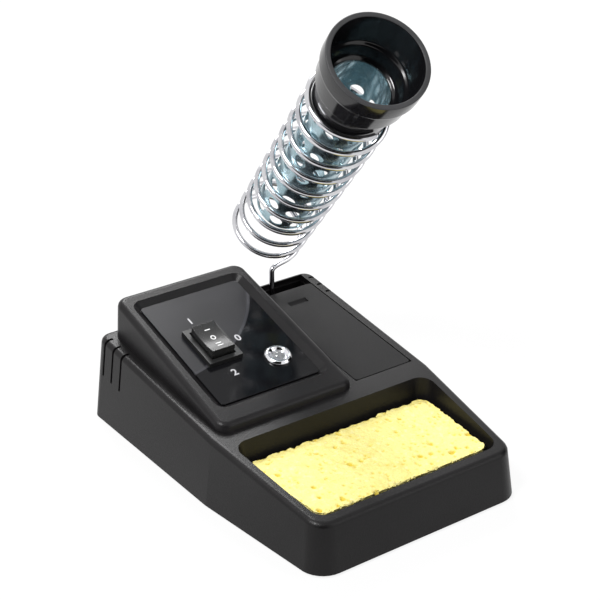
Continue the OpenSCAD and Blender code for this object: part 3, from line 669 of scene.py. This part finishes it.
def screw_tree() -> Builder:
    """Build the tree that stands a domed cross-head screw on each point, its head down.

    Returns:
        The tree, with the screw's sizes and a seed for its turn as inputs.
    """
    b = Builder("cross_head_screws", {
        "Head": ("NodeSocketFloat", 0.0056), "Thickness": ("NodeSocketFloat", 0.0012),
        "Shank": ("NodeSocketFloat", 0.0029), "Length": ("NodeSocketFloat", 0.009),
        "Pitch": ("NodeSocketFloat", 0.0011), "Seed": ("NodeSocketInt", 3),
        "Finish": ("NodeSocketMaterial", None)})

    def share(socket: bpy.types.NodeSocket, of: float = 0.5) -> bpy.types.NodeSocket:
        """Multiply an input by a number."""
        return b.add("ShaderNodeMath", {"operation": "MULTIPLY"},
                     {0: socket, 1: of}).outputs[0]

    def lifted(shape: bpy.types.NodeSocket, z: bpy.types.NodeSocket) -> bpy.types.NodeSocket:
        """Move a shape along Z."""
        vector = b.add("ShaderNodeCombineXYZ", None, {"Z": z})
        return b.add("GeometryNodeTransform", None,
                     {0: shape, "Translation": vector.outputs[0]}).outputs[0]

    dome = b.add("GeometryNodeMeshCone", {"fill_type": "TRIANGLE_FAN"}, {
        "Vertices": 24, "Radius Top": share(b.value("Head")),
        "Radius Bottom": share(b.value("Head"), 0.38), "Depth": b.value("Thickness")})
    head = lifted(dome.outputs[0], share(b.value("Thickness"), -1.0))
    bars = []
    for turn in (0.0, math.pi / 2):
        size = b.add("ShaderNodeCombineXYZ", None, {
            "X": share(b.value("Head"), 0.5), "Y": share(b.value("Head"), 0.11),
            "Z": b.value("Thickness")})
        bar = b.add("GeometryNodeMeshCube", None, {"Size": size.outputs[0]})
        spun = b.add("GeometryNodeTransform", None,
                     {0: bar.outputs[0], "Rotation": (0.0, 0.0, turn)})
        bars.append(lifted(spun.outputs[0], share(b.value("Thickness"), -1.0)))
    cut = b.add("GeometryNodeMeshBoolean", {"operation": "DIFFERENCE", "solver": "EXACT"},
                {0: head})
    for bar in bars:
        b.tree.links.new(bar, cut.inputs[1])
    core = b.add("GeometryNodeMeshCone", {"fill_type": "TRIANGLE_FAN"}, {
        "Vertices": 12, "Radius Top": share(b.value("Shank"), 0.25),
        "Radius Bottom": share(b.value("Shank"), 0.38), "Depth": b.value("Length")})
    turns = b.add("ShaderNodeMath", {"operation": "DIVIDE"},
                  {0: b.value("Length"), 1: b.value("Pitch")})
    thread = b.add("GeometryNodeCurveSpiral", None, {
        "Resolution": 12, "Rotations": turns.outputs[0],
        "Start Radius": share(b.value("Shank"), 0.36), "End Radius": share(b.value("Shank"), 0.3),
        "Height": share(b.value("Length"), 0.94)})
    ridge = b.add("GeometryNodeCurvePrimitiveCircle", None,
                  {"Resolution": 4, "Radius": share(b.value("Shank"), 0.13)})
    helix = b.add("GeometryNodeCurveToMesh", None, {
        "Curve": thread.outputs[0], "Profile Curve": ridge.outputs[0], "Fill Caps": True})
    whole = b.add("GeometryNodeJoinGeometry")
    for part in (cut.outputs[0], core.outputs[0], helix.outputs[0]):
        b.tree.links.new(part, whole.inputs[0])
    spin = b.add("FunctionNodeRandomValue", {"data_type": "FLOAT"}, {
        "Max": math.pi, "Seed": b.value("Seed")})
    turn = b.add("ShaderNodeCombineXYZ", None, {"Z": [o for o in spin.outputs if o.enabled][0]})
    along = b.add("GeometryNodeInputNamedAttribute", {"data_type": "FLOAT_VECTOR"}, {"Name": "way"})
    lean = b.add("FunctionNodeAlignEulerToVector", {"axis": "Z"}, {
        "Rotation": turn.outputs[0], "Vector": along.outputs[0]})
    stand = b.add("GeometryNodeInstanceOnPoints", None, {
        "Points": b.value("Geometry"), "Instance": whole.outputs[0], "Rotation": lean.outputs[0]})
    b.finish(stand.outputs[0])
    return b


def point_cloud(points: list[Vector], way: Vector) -> bpy.types.Object:
    """Make an object of bare points that carry a direction.

    Args:
        points: the points, in metres.
        way: the direction stored on each.

    Returns:
        The object.
    """
    mesh = bpy.data.meshes.new("points")
    mesh.from_pydata([tuple(p) for p in points], [], [])
    attribute = mesh.attributes.new("way", "FLOAT_VECTOR", "POINT")
    attribute.data.foreach_set("vector", [c for _ in points for c in way])
    return linked("points", mesh)


def islands(node: bpy.types.Object) -> list[tuple[Vector, Vector]]:
    """Find the boxes of a CAD node's separate solids.

    Args:
        node: the CAD node's object.

    Returns:
        Each solid's lowest and highest corners, from left to right.
    """
    bm = merged_copy(node)
    left, boxes = set(bm.verts), []
    while left:
        stack, seen = [left.pop()], []
        while stack:
            v = stack.pop()
            seen.append(v.co.copy())
            for e in v.link_edges:
                w = e.other_vert(v)
                if w in left:
                    left.discard(w)
                    stack.append(w)
        co = np.array(seen)
        boxes.append((Vector(co.min(0)), Vector(co.max(0))))
    bm.free()
    return sorted(boxes, key=lambda b: (round(b[0].x, 4), round(b[0].y, 4)))


# ---------------------------------------------------------------- sub-assemblies


@dataclass
class Shop:
    """What every sub-assembly works with."""

    nodes: dict[str, bpy.types.Object]
    finishes: dict[str, bpy.types.Material] = field(default_factory=dict)

    def finish(self, which: bpy.types.Material | Finish) -> bpy.types.Material:
        """Return a finish's material, made on first use, or a material as it is."""
        if isinstance(which, bpy.types.Material):
            return which
        if which.name not in self.finishes:
            self.finishes[which.name] = which.value.material()
        return self.finishes[which.name]

    def dress(self, which: Finish, *nodes: str) -> None:
        """Give the slots of some CAD nodes one material.

        Args:
            which: the finish.
            nodes: the CAD nodes' names.
        """
        material = self.finish(which)
        for node in nodes:
            for slot in self.nodes[node].material_slots:
                slot.material = material
            LOG.info("%s dressed in %s", node, material.name)

    def settle(self, piece: bpy.types.Object, body: str, slot: str, *nodes: str) -> None:
        """Tie a piece to its body and hide the CAD nodes that it stands for.

        Args:
            piece: the finished piece.
            body: the body that it rides on.
            slot: not used.
            nodes: the CAD nodes that it replaces.
        """
        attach(piece, body)
        if nodes:
            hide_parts(*nodes)
        LOG.info("%s: %d faces on %s", piece.name, len(piece.data.polygons), body)

    def copied(self, name: str, node: str,
               material: bpy.types.Material | Finish) -> bpy.types.Object:
        """Make a piece of a CAD node's welded copy.

        Args:
            name: the piece's name.
            node: the CAD node.
            material: a material, or one of the finishes.

        Returns:
            The piece.
        """
        mesh = plain_mesh(name, merged_copy(self.nodes[node]))
        return new_piece(name, mesh, self.finish(material))

    def softened(self, name: str, node: str, body: str, slot: str,
                 material: bpy.types.Material | Finish, width: float,
                 sharp: float = 32.0) -> None:
        """Replace a CAD node by a copy with eased edges.

        Args:
            name: the piece's name.
            node: the CAD node.
            body: the body that it rides on.
            slot: the record's material slot.
            material: a material, or one of the finishes.
            width: width of the eased edges in metres.
            sharp: angle in degrees above which an edge is eased.
        """
        piece = self.copied(name, node, material)
        ease = piece.modifiers.new("ease", "BEVEL")
        ease.width = width
        ease.segments = 2
        ease.limit_method = "ANGLE"
        ease.angle_limit = math.radians(sharp)
        ease.use_clamp_overlap = True
        ease.harden_normals = True
        even = piece.modifiers.new("even", "WEIGHTED_NORMAL")
        even.keep_sharp = True
        piece.data.shade_smooth()
        piece.data.set_sharp_from_angle(angle=math.radians(60))
        piece.data = baked(piece)
        piece.modifiers.clear()
        self.settle(piece, body, slot, node)


@dataclass
class SubAssembly:
    """A group of the station's pieces."""

    shop: Shop

    def build(self) -> None:
        """Build its own meshes, where it has any."""

    def dress(self) -> None:
        """Dress the nodes that stay as CAD, where it has any."""


@dataclass
class Base(SubAssembly):
    """The moulded base, its cover, feet, ballast and lid."""

    shell_edge: float = 0.00035
    lid_edge: float = 0.0003
    cover_edge: float = 0.0002

    def build(self) -> None:
        """Build the eased mouldings."""
        for name, node, body, slot, which, edge in (
                ("base_shell", "housing", "base", "base_abs", Finish.BASE, self.shell_edge),
                ("well_lid", "storage_lid", "storage_lid", "lid_abs", Finish.LID, self.lid_edge),
                ("base_cover", "bottom_cover", "base", "cover_abs", Finish.COVER,
                 self.cover_edge)):
            self.shop.softened(name, node, body, slot, which, edge)

    def dress(self) -> None:
        """Dress the feet, the grommets, the ballast and the bushing."""
        self.shop.dress(Finish.RUBBER, "rubber_feet", "mains_grommet", "iron_lead_grommet")
        self.shop.dress(Finish.BALLAST, "ballast_plate")
        self.shop.dress(Finish.BRASS, "stem_bushing")


@dataclass
class Panel:
    """The sloped top of the control box, with u across it, v up its slope and w off it."""

    origin: Vector = field(default_factory=lambda: Vector((-0.03757, -0.01785, 0.0306)))
    slope: float = math.radians(14.2)
    label_front: float = 0.0124

    def point(self, u: float, v: float, w: float = 0.0) -> Vector:
        """Return a place on the panel.

        Args:
            u: metres across from the label's left side.
            v: metres up the slope from the label's front.
            w: metres off the panel.

        Returns:
            The point in the frame.
        """
        y = self.label_front + v
        c, s = math.cos(self.slope), math.sin(self.slope)
        return self.origin + Vector((u, y * c - w * s, y * s + w * c))

    def matrix(self, u: float, v: float, w: float = 0.0) -> Matrix:
        """Return the place of a flat thing laid on the panel at (u, v, w)."""
        return Matrix.Translation(self.point(u, v, w)) @ Matrix.Rotation(self.slope, 4, "X")


@dataclass
class ControlBox(SubAssembly):
    """The box, its label and the marks on it."""

    panel: Panel
    box_edge: float = 0.0004
    label_edge: float = 0.0001
    label_sink: float = 0.0014
    arc_at: Flat = (-0.012, 0.083)
    arc_r: float = 0.0640
    ink_t: float = 0.00006
    figure: float = 0.0048
    weight: float = 0.00009
    figures: tuple[tuple[str, float, float], ...] = (
        ("1", 0.0143, 0.0465), ("0", 0.0263, 0.0302), ("2", 0.0143, 0.0135))

    def build(self) -> None:
        """Build the box, the label plate and its figures."""
        self.shop.softened("box_shell", "control_box", "base", "box_abs", Finish.BOX,
                           self.box_edge)
        film = Film(tuple(self.panel.point(*self.arc_at, -self.label_sink)), self.arc_r)
        self.shop.softened("label_sheet", "label_plate", "base", "label", film.material(),
                           self.label_edge)
        for text, u, v in self.figures:
            self.figure_piece(text, u, v)

    def figure_piece(self, text: str, u: float, v: float) -> None:
        """Lay one printed figure on the label.

        Args:
            text: the figure.
            u: its centre across the label.
            v: its centre up the label.
        """
        curve = bpy.data.curves.new("figure", "FONT")
        curve.body = text
        curve.size = self.figure
        curve.align_x = "CENTER"
        curve.align_y = "CENTER"
        curve.extrude = self.ink_t / 2
        curve.offset = self.weight
        text_object = linked("figure", curve)
        mesh = baked(text_object)
        bpy.data.objects.remove(text_object)
        mesh.transform(self.panel.matrix(u, v, -self.label_sink + self.ink_t / 2))
        piece = new_piece(f"figure_{text}", mesh, self.shop.finish(Finish.GREY_INK))
        self.shop.settle(piece, "base", "label")


@dataclass
class Switch(SubAssembly):
    """The rocker switch and the marks on its paddle."""

    panel: Panel
    frame_edge: float = 0.0002
    paddle_edge: float = 0.00025
    u: float = 0.0143
    v: float = 0.0302
    step: float = 0.0045
    bar: Flat = (0.00045, 0.0024)
    bars_apart: float = 0.0016
    ring: Flat = (0.0008, 0.00125)
    ring_squash: float = 0.85
    ring_steps: int = 28
    ink_t: float = 0.00006
    look_from: float = 0.02

    def build(self) -> None:
        """Build the eased bezel and paddle and its marks."""
        self.shop.softened("switch_frame", "switch_body", "base", "switch_black",
                           Finish.SWITCH, self.frame_edge)
        self.shop.softened("switch_paddle", "rocker", "rocker", "switch_black",
                           Finish.ROCKER, self.paddle_edge)
        skin = merged_copy(self.shop.nodes["rocker"])
        tree = BVHTree.FromBMesh(skin)
        for name, v, shapes in (
                ("mark_one", self.step, [self.bar_outline(0.0)]),
                ("mark_off", 0.0, [self.ring_outline()]),
                ("mark_two", -self.step, [self.bar_outline(-self.bars_apart / 2),
                                          self.bar_outline(self.bars_apart / 2)])):
            self.mark(name, v, shapes, tree)
        skin.free()

    def bar_outline(self, v: float) -> Grid:
        """Return the rows of a bar's grid across the paddle, its middle at v up the slope."""
        w, length = self.bar
        return [[(length * (i / 8 - 0.5), v + w / 2), (length * (i / 8 - 0.5), v - w / 2)]
                for i in range(9)]

    def ring_outline(self) -> Grid:
        """Return the rows of a ring's grid, which ends on its first row."""
        angles = (2 * math.pi * i / self.ring_steps for i in range(self.ring_steps))
        rows = [[(r * self.ring_squash * math.cos(a), r * math.sin(a)) for r in self.ring]
                for a in angles]
        return [*rows, rows[0]]

    def mark(self, name: str, v: float, shapes: list[Grid], tree: BVHTree) -> None:
        """Lay a printed mark on the paddle's hollow.

        Args:
            name: the piece's name.
            v: its distance up the slope from the paddle's middle.
            shapes: grids of (u, v) points.
            tree: the paddle's surface.
        """
        up = self.panel.matrix(0, 0).to_3x3() @ Vector((0, 0, 1))
        bm = bmesh.new()
        for rows in shapes:
            layers = []
            for lift in (-self.ink_t, self.ink_t):
                grid = []
                for row in rows:
                    line = []
                    for du, dv in row:
                        start = self.panel.point(self.u + du, self.v + v + dv, self.look_from)
                        hit = tree.ray_cast(start, -up)[0]
                        line.append(bm.verts.new(hit + up * lift))
                    grid.append(line)
                layers.append(grid)
            low, high = layers
            for i in range(len(rows) - 1):
                bm.faces.new((high[i][0], high[i][1], high[i + 1][1], high[i + 1][0]))
                bm.faces.new((low[i][0], low[i + 1][0], low[i + 1][1], low[i][1]))
                for k in (0, 1):
                    bm.faces.new((low[i][k], low[i + 1][k], high[i + 1][k], high[i][k]))
            for i in () if rows[0] == rows[-1] else (0, len(rows) - 1):
                bm.faces.new((low[i][0], low[i][1], high[i][1], high[i][0]))
        bmesh.ops.remove_doubles(bm, verts=bm.verts[:], dist=1e-7)
        piece = new_piece(name, from_bmesh(bm), self.shop.finish(Finish.INK))
        self.shop.settle(piece, "rocker", "switch_black")

    def dress(self) -> None:
        """Dress the switch's inner parts."""
        self.shop.dress(Finish.BRASS, "switch_terminals")
        self.shop.dress(Finish.COPPER, "switch_contact")
        self.shop.dress(Finish.SCREW, "switch_plunger")


@dataclass
class Lamp(SubAssembly):
    """The chrome lamp bezel with its lens and what is behind it."""

    edge: float = 0.00018
    sharp: float = 25.0

    def build(self) -> None:
        """Build the eased bezel."""
        self.shop.softened("lamp_bezel", "indicator_bezel", "base", "chrome", Finish.CHROME,
                           self.edge, self.sharp)

    def dress(self) -> None:
        """Dress the lamp's parts."""
        self.shop.dress(Finish.LENS, "indicator_lens")
        self.shop.dress(Finish.GLOW, "indicator_lamp")
        self.shop.dress(Finish.SCREW, "indicator_washer", "indicator_nut")


@dataclass
class Electronics(SubAssembly):
    """The circuit board and the leads."""

    def dress(self) -> None:
        """Dress the board's parts."""
        self.shop.dress(Finish.BOARD, "circuit_board")
        self.shop.dress(Finish.DIODE, "power_diode")
        self.shop.dress(Finish.RESISTOR, "lamp_resistor")
        self.shop.dress(Finish.TERMINAL, "terminal_block")
        self.shop.dress(Finish.RED, "switch_leads")
        self.shop.dress(Finish.WHITE, "lamp_leads")


@dataclass
class Screws(SubAssembly):
    """Every set of screws, grown on the places of the CAD ones."""

    widest_head: float = 0.0056
    thickest_head: float = 0.0012
    pitch: float = 0.0011
    first_seed: int = 11
    from_below: tuple[str, ...] = ("housing_screws", "ballast_screws", "control_box_screws")
    from_above: tuple[str, ...] = ("board_screws", "terminal_screws")

    def build(self) -> None:
        """Grow each set where its CAD node has its screws."""
        tree = screw_tree()
        for i, node in enumerate((*self.from_below, *self.from_above)):
            boxes = islands(self.shop.nodes[node])
            low, high = boxes[0]
            tall = high.z - low.z
            head = min(high.x - low.x, self.widest_head) * 0.98
            cap = min(self.thickest_head, tall * 0.3)
            up = node in self.from_below
            points = [Vector(((b[0].x + b[1].x) / 2, (b[0].y + b[1].y) / 2,
                              b[0].z + cap if up else b[1].z - cap)) for b in boxes]
            cloud = point_cloud(points, Vector((0, 0, 1 if up else -1)))
            piece = tree.grow(f"{node}_cross_head", cloud, {
                "Head": head, "Thickness": cap, "Shank": head * 0.5,
                "Length": (tall - cap) * 0.99, "Pitch": self.pitch,
                "Seed": self.first_seed + i}, self.shop.finish(Finish.SCREW))
            self.shop.settle(piece, "base", "screw_zinc", node)


@dataclass
class Holder(SubAssembly):
    """The sprung wire coil, the perforated tube and the cup."""

    stem: Vector = field(default_factory=lambda: Vector((0.02853, 0.05915, 0.001)))
    turn: float = math.radians(-9.8)
    lean: float = math.radians(43)
    axis_at: Vector = field(default_factory=lambda: Vector((0.0031, 0.0059, 0.0619)))
    wire_r: float = 0.00115
    coil_r: float = 0.0151
    flare: float = 0.0012
    pitch: float = 0.0119
    turns: float = 9.9
    start_a: float = math.radians(-45)
    start_s: float = -0.0102
    stem_foot: float = 0.0024
    stem_top: float = 0.042
    grip: float = 0.006
    cup_s: float = 0.10176
    cup_r: float = 0.0193
    cup_l: float = 0.0325
    neck_r: float = 0.01497
    neck_l: float = 0.0135
    throat_r: float = 0.0118
    rim_w: float = 0.0020
    mouth_ring_depth: float = 0.0004

    def upright(self) -> Matrix:
        """Return the place of the stem's own frame."""
        return Matrix.Translation(self.stem) @ Matrix.Rotation(self.turn, 4, "Z")

    def axis(self, s: float) -> Matrix:
        """Return the place on the leaning axis at distance s."""
        return (self.upright() @ Matrix.Translation(self.axis_at)
                @ Matrix.Rotation(self.lean, 4, "X") @ Matrix.Translation((0, 0, s)))

    def coil_point(self, a: float) -> Vector:
        """Return a point of the coil, in the leaning axis's own frame, for an angle."""
        share = (a - self.start_a) / (2 * math.pi)
        r = self.coil_r + self.flare * share / self.turns
        return Vector((r * math.cos(a), r * math.sin(a), self.start_s + self.pitch * share))

    def build(self) -> None:
        """Build the wire and the cup."""
        self.build_wire()
        self.build_cup()

    def build_wire(self) -> None:
        """Draw the wire along its stem, bend and coil."""
        to_stem = Matrix.Translation(self.axis_at) @ Matrix.Rotation(self.lean, 4, "X")
        last = self.start_a + 2 * math.pi * self.turns
        count = int(self.turns * 60)
        coil = [to_stem @ self.coil_point(self.start_a + (last - self.start_a) * i / count)
                for i in range(count + 1)]
        into = (coil[1] - coil[0]).normalized()
        top = Vector((0, 0, self.stem_top))
        a, b = top, top + Vector((0, 0, self.grip * 0.7))
        c, d = coil[0] - self.grip * into, coil[0]
        bend = []
        for i in range(20):
            t = i / 20
            bend.append(a * (1 - t) ** 3 + b * 3 * t * (1 - t) ** 2
                        + c * 3 * t * t * (1 - t) + d * t ** 3)
        path = [Vector((0, 0, self.stem_foot)), Vector((0, 0, 0.03)), *bend, *coil]
        curve = bpy.data.curves.new("wire_path", "CURVE")
        curve.dimensions = "3D"
        spline = curve.splines.new("POLY")
        spline.points.add(len(path) - 1)
        place = self.upright()
        for point, at in zip(spline.points, path):
            point.co = (*(place @ at), 1.0)
        piece = wire_tree().grow("spring_wire", linked("wire_path", curve),
                                 {"Radius": self.wire_r, "Sides": 14},
                                 self.shop.finish(Finish.WIRE))
        self.shop.settle(piece, "holder", "wire_chrome", "holder_wire")

    def build_cup(self) -> None:
        """Turn the cup, with its mouth's ring in the lighter grey finish."""
        r, n, t = self.cup_r, self.neck_r, self.throat_r
        neck = [(t, 0.0), (n, 0.0), (n, self.neck_l)]
        body = [(r - 0.0017, 0.0147), (r - 0.0012, 0.0235)]
        collar = [(r, 0.0251), (r, self.cup_l), (r - self.rim_w, self.cup_l)]
        bowl = [(r - 0.0029, 0.0182), (r - 0.0044, 0.0170)]
        funnel = [(n - 0.0014, 0.0122), (t, 0.0114)]
        outline = neck + body + collar + bowl + funnel
        mesh = lathe(rounded(outline, 0.0006), 128, self.axis(self.cup_s))
        piece = new_piece("iron_cup", mesh, self.shop.finish(Finish.CUP))
        mesh.materials.append(self.shop.finish(Finish.RIM))
        back = self.axis(self.cup_s).inverted()
        for face in mesh.polygons:
            if (back @ face.center).z > self.cup_l - self.mouth_ring_depth:
                face.material_index = 1
        self.shop.settle(piece, "holder", "cup_phenolic", "holder_cup")

    def dress(self) -> None:
        """Dress the tube and the clip."""
        self.shop.dress(Finish.ZINC, "holder_tube")
        self.shop.dress(Finish.SCREW, "stem_clip")


@dataclass
class Sponge(SubAssembly):
    """The damp cellulose sponge with its open pores and ragged edges."""

    voxel: float = 0.00048
    pore_depth: float = 0.0014
    small_pore: Flat = (430.0, 0.46)
    large_pore: Flat = (190.0, 0.30)
    wave: float = 0.0004
    grit: float = 0.00045
    rag_w: float = 0.003
    rag_from: float = 0.4
    rag: float = 0.0022
    crumb: float = 0.0009

    def build(self) -> None:
        """Remesh the CAD sponge finely and sink its pores."""
        piece = self.shop.copied("wiping_sponge", "sponge", Finish.SPONGE)
        remesh = piece.modifiers.new("fine", "REMESH")
        remesh.mode = "VOXEL"
        remesh.voxel_size = self.voxel
        piece.data = baked(piece)
        piece.modifiers.clear()
        self.sink(piece.data)
        piece.data.shade_smooth()
        self.shop.settle(piece, "sponge", "cellulose", "sponge")

    def sink(self, mesh: bpy.types.Mesh) -> None:
        """Move the surface in by waves, rags and pores, and store how deep each pore is.

        Args:
            mesh: the fine mesh, which is changed.
        """
        low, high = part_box("sponge")
        pores = mesh.attributes.new("pore", "FLOAT", "POINT")
        depth = np.zeros(len(mesh.vertices), np.float32)
        small_scale, small_r = self.small_pore
        large_scale, large_r = self.large_pore
        moved = []
        for v in mesh.vertices:
            p = v.co
            small_at, _ = noise.voronoi(p * small_scale)
            large_at, _ = noise.voronoi(p * large_scale + Vector((9.1, 3.7, 5.2)))
            gate = noise.noise(p * 210 + Vector((1.3, 8.8, 2.1)))
            small = max(0.0, small_r - small_at[0]) / small_r * (1.0 if gate > -0.05 else 0.35)
            large = max(0.0, large_r - large_at[0]) / large_r * (1.0 if gate > 0.02 else 0.1)
            pore = min(1.0, small * 0.55 + large * 1.1)
            edge = min(p.x - low.x, high.x - p.x, p.y - low.y, high.y - p.y)
            above = max(0.0, (p.z - low.z) / (high.z - low.z) - self.rag_from)
            torn = max(0.0, 1 - edge / self.rag_w) * above
            sink = (self.pore_depth * pore
                    + self.wave * (noise.noise(p * 60) * 0.5 + 0.5)
                    + self.grit * (noise.fractal(p * 420, 1.0, 2.0, 3) * 0.5 + 0.5)
                    + self.rag * torn * max(0.0, noise.noise(p * 330) + 0.35)
                    + self.crumb * torn * max(0.0, noise.noise(p * 900) + 0.1))
            depth[v.index] = pore
            moved.append(p - v.normal * sink)
        for v, p in zip(mesh.vertices, moved):
            v.co = p
        # the stored pore share also darkens the sponge's colour there as painted shade
        pores.data.foreach_set("value", depth)
        mesh.update()


@dataclass
class Studio:
    """The floor, the lights, the world and the camera."""

    eye: Vector = field(default_factory=lambda: Vector((-0.30512, -0.43983, 0.33588)))
    right: Vector = field(default_factory=lambda: Vector((0.81721, -0.57634, 0.0)))
    up: Vector = field(default_factory=lambda: Vector((0.26134, 0.37057, 0.89128)))
    back: Vector = field(default_factory=lambda: Vector((-0.51368, -0.72837, 0.45345)))
    lens: float = 95.56
    shift: Flat = (-0.0120, -0.0026)
    floor_size: float = 9.0
    world_level: float = 0.38
    floor_glow: float = 0.88
    card_aim: Vector = field(default_factory=lambda: Vector((0, 0, 0.08)))
    lamp_aim: Vector = field(default_factory=lambda: Vector((0, 0, 0.06)))

    def build(self) -> None:
        """Build the whole stage."""
        self.camera()
        self.world()
        self.floor()
        self.light("key", Vector((-0.75, -0.15, 1.1)), 0.5, 15.0)
        self.light("fill", Vector((0.9, -0.9, 0.7)), 0.8, 3.0)
        self.light("rear", Vector((0.35, 0.9, 1.0)), 0.5, 12.0)
        self.card("card_front", Vector((-0.72, -1.02, 0.55)), 1.5)
        self.card("card_side", Vector((1.1, -0.35, 0.45)), 0.9)

    def camera(self) -> None:
        """Stand the camera at its viewing angle."""
        data = bpy.data.cameras.new("camera")
        data.lens = self.lens
        data.sensor_width = 36.0
        data.shift_x, data.shift_y = self.shift
        data.clip_start = 0.01
        camera = linked("camera", data)
        turn = Matrix((self.right, self.up, self.back)).transposed().to_4x4()
        camera.matrix_world = Matrix.Translation(self.eye) @ turn
        bpy.context.scene.camera = camera
        bpy.context.scene.view_settings.view_transform = "Standard"

    def seen(self, g: Graph) -> Term:
        """Return 1 for rays that show the background itself."""
        path = g.tree.nodes.new("ShaderNodeLightPath")
        total = Term(g, path.outputs["Is Camera Ray"]) + Term(g, path.outputs["Is Glossy Ray"])
        total = total + Term(g, path.outputs["Is Transmission Ray"])
        return g.node("ShaderNodeClamp", None, {0: total})

    def world(self) -> None:
        """Give the world a soft level, and white where it is seen."""
        world = bpy.data.worlds.new("world")
        bpy.context.scene.world = world
        g = Graph("world", world)
        level = self.seen(g) * (1 - self.world_level) + self.world_level
        g.show(g.node("ShaderNodeBackground", None, {"Color": (1.0, 1.0, 1.0), "Strength": level}),
               "ShaderNodeOutputWorld")

    def floor(self) -> None:
        """Lay the plain pale floor."""
        g = Graph("pale_floor")
        plain = g.node("ShaderNodeBsdfDiffuse", None, {"Color": (0.9, 0.9, 0.9)})
        white = g.node("ShaderNodeEmission", None, {"Color": (1.0, 1.0, 1.0), "Strength": 1.0})
        g.show(g.node("ShaderNodeMixShader", None,
                      {0: self.seen(g) * self.floor_glow, 1: plain, 2: white}))
        self.square("floor", self.floor_size, Matrix(), g.owner)

    def square(self, name: str, reach: float, place: Matrix,
               material: bpy.types.Material) -> bpy.types.Object:
        """Make a flat square.

        Args:
            name: its name.
            reach: half its width.
            place: where it stands and how it is turned.
            material: its material.

        Returns:
            The square.
        """
        bm = bmesh.new()
        bmesh.ops.create_grid(bm, x_segments=1, y_segments=1, size=reach, matrix=place)
        return new_piece(name, plain_mesh(name, bm), material)

    def card(self, name: str, place: Vector, size: float) -> None:
        """Stand a black card that only polished surfaces see, to give metal its dark lines.

        Args:
            name: the card's name.
            place: its centre.
            size: its width and height.
        """
        turn = (place - self.card_aim).to_track_quat("Z", "Y").to_matrix().to_4x4()
        g = Graph(name)
        g.show(g.node("ShaderNodeEmission", None, {"Color": (0.0, 0.0, 0.0), "Strength": 0.0}))
        card = self.square(name, size / 2, Matrix.Translation(place) @ turn, g.owner)
        card.visible_camera = False
        card.visible_diffuse = False
        card.visible_shadow = False
        card.visible_transmission = False

    def light(self, name: str, place: Vector, size: float, power: float) -> None:
        """Hang one soft lamp that points at the station.

        Args:
            name: the lamp's name.
            place: where it hangs.
            size: its width.
            power: its power in watts.
        """
        data = bpy.data.lights.new(name, "AREA")
        data.shape = "DISK"
        data.size = size
        data.energy = power
        lamp = linked(name, data)
        lamp.location = place
        lamp.rotation_euler = (place - self.lamp_aim).to_track_quat("Z", "Y").to_euler()


def main() -> None:
    """Build the studio and the station."""
    logging.basicConfig(level=logging.INFO, format="%(message)s")
    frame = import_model()
    shop = Shop(frame["nodes"])
    panel = Panel()
    Studio().build()
    for group in (Base(shop), ControlBox(shop, panel), Switch(shop, panel), Lamp(shop),
                  Electronics(shop), Screws(shop), Holder(shop), Sponge(shop)):
        group.build()
        group.dress()


if __name__ == "__main__":
    main()
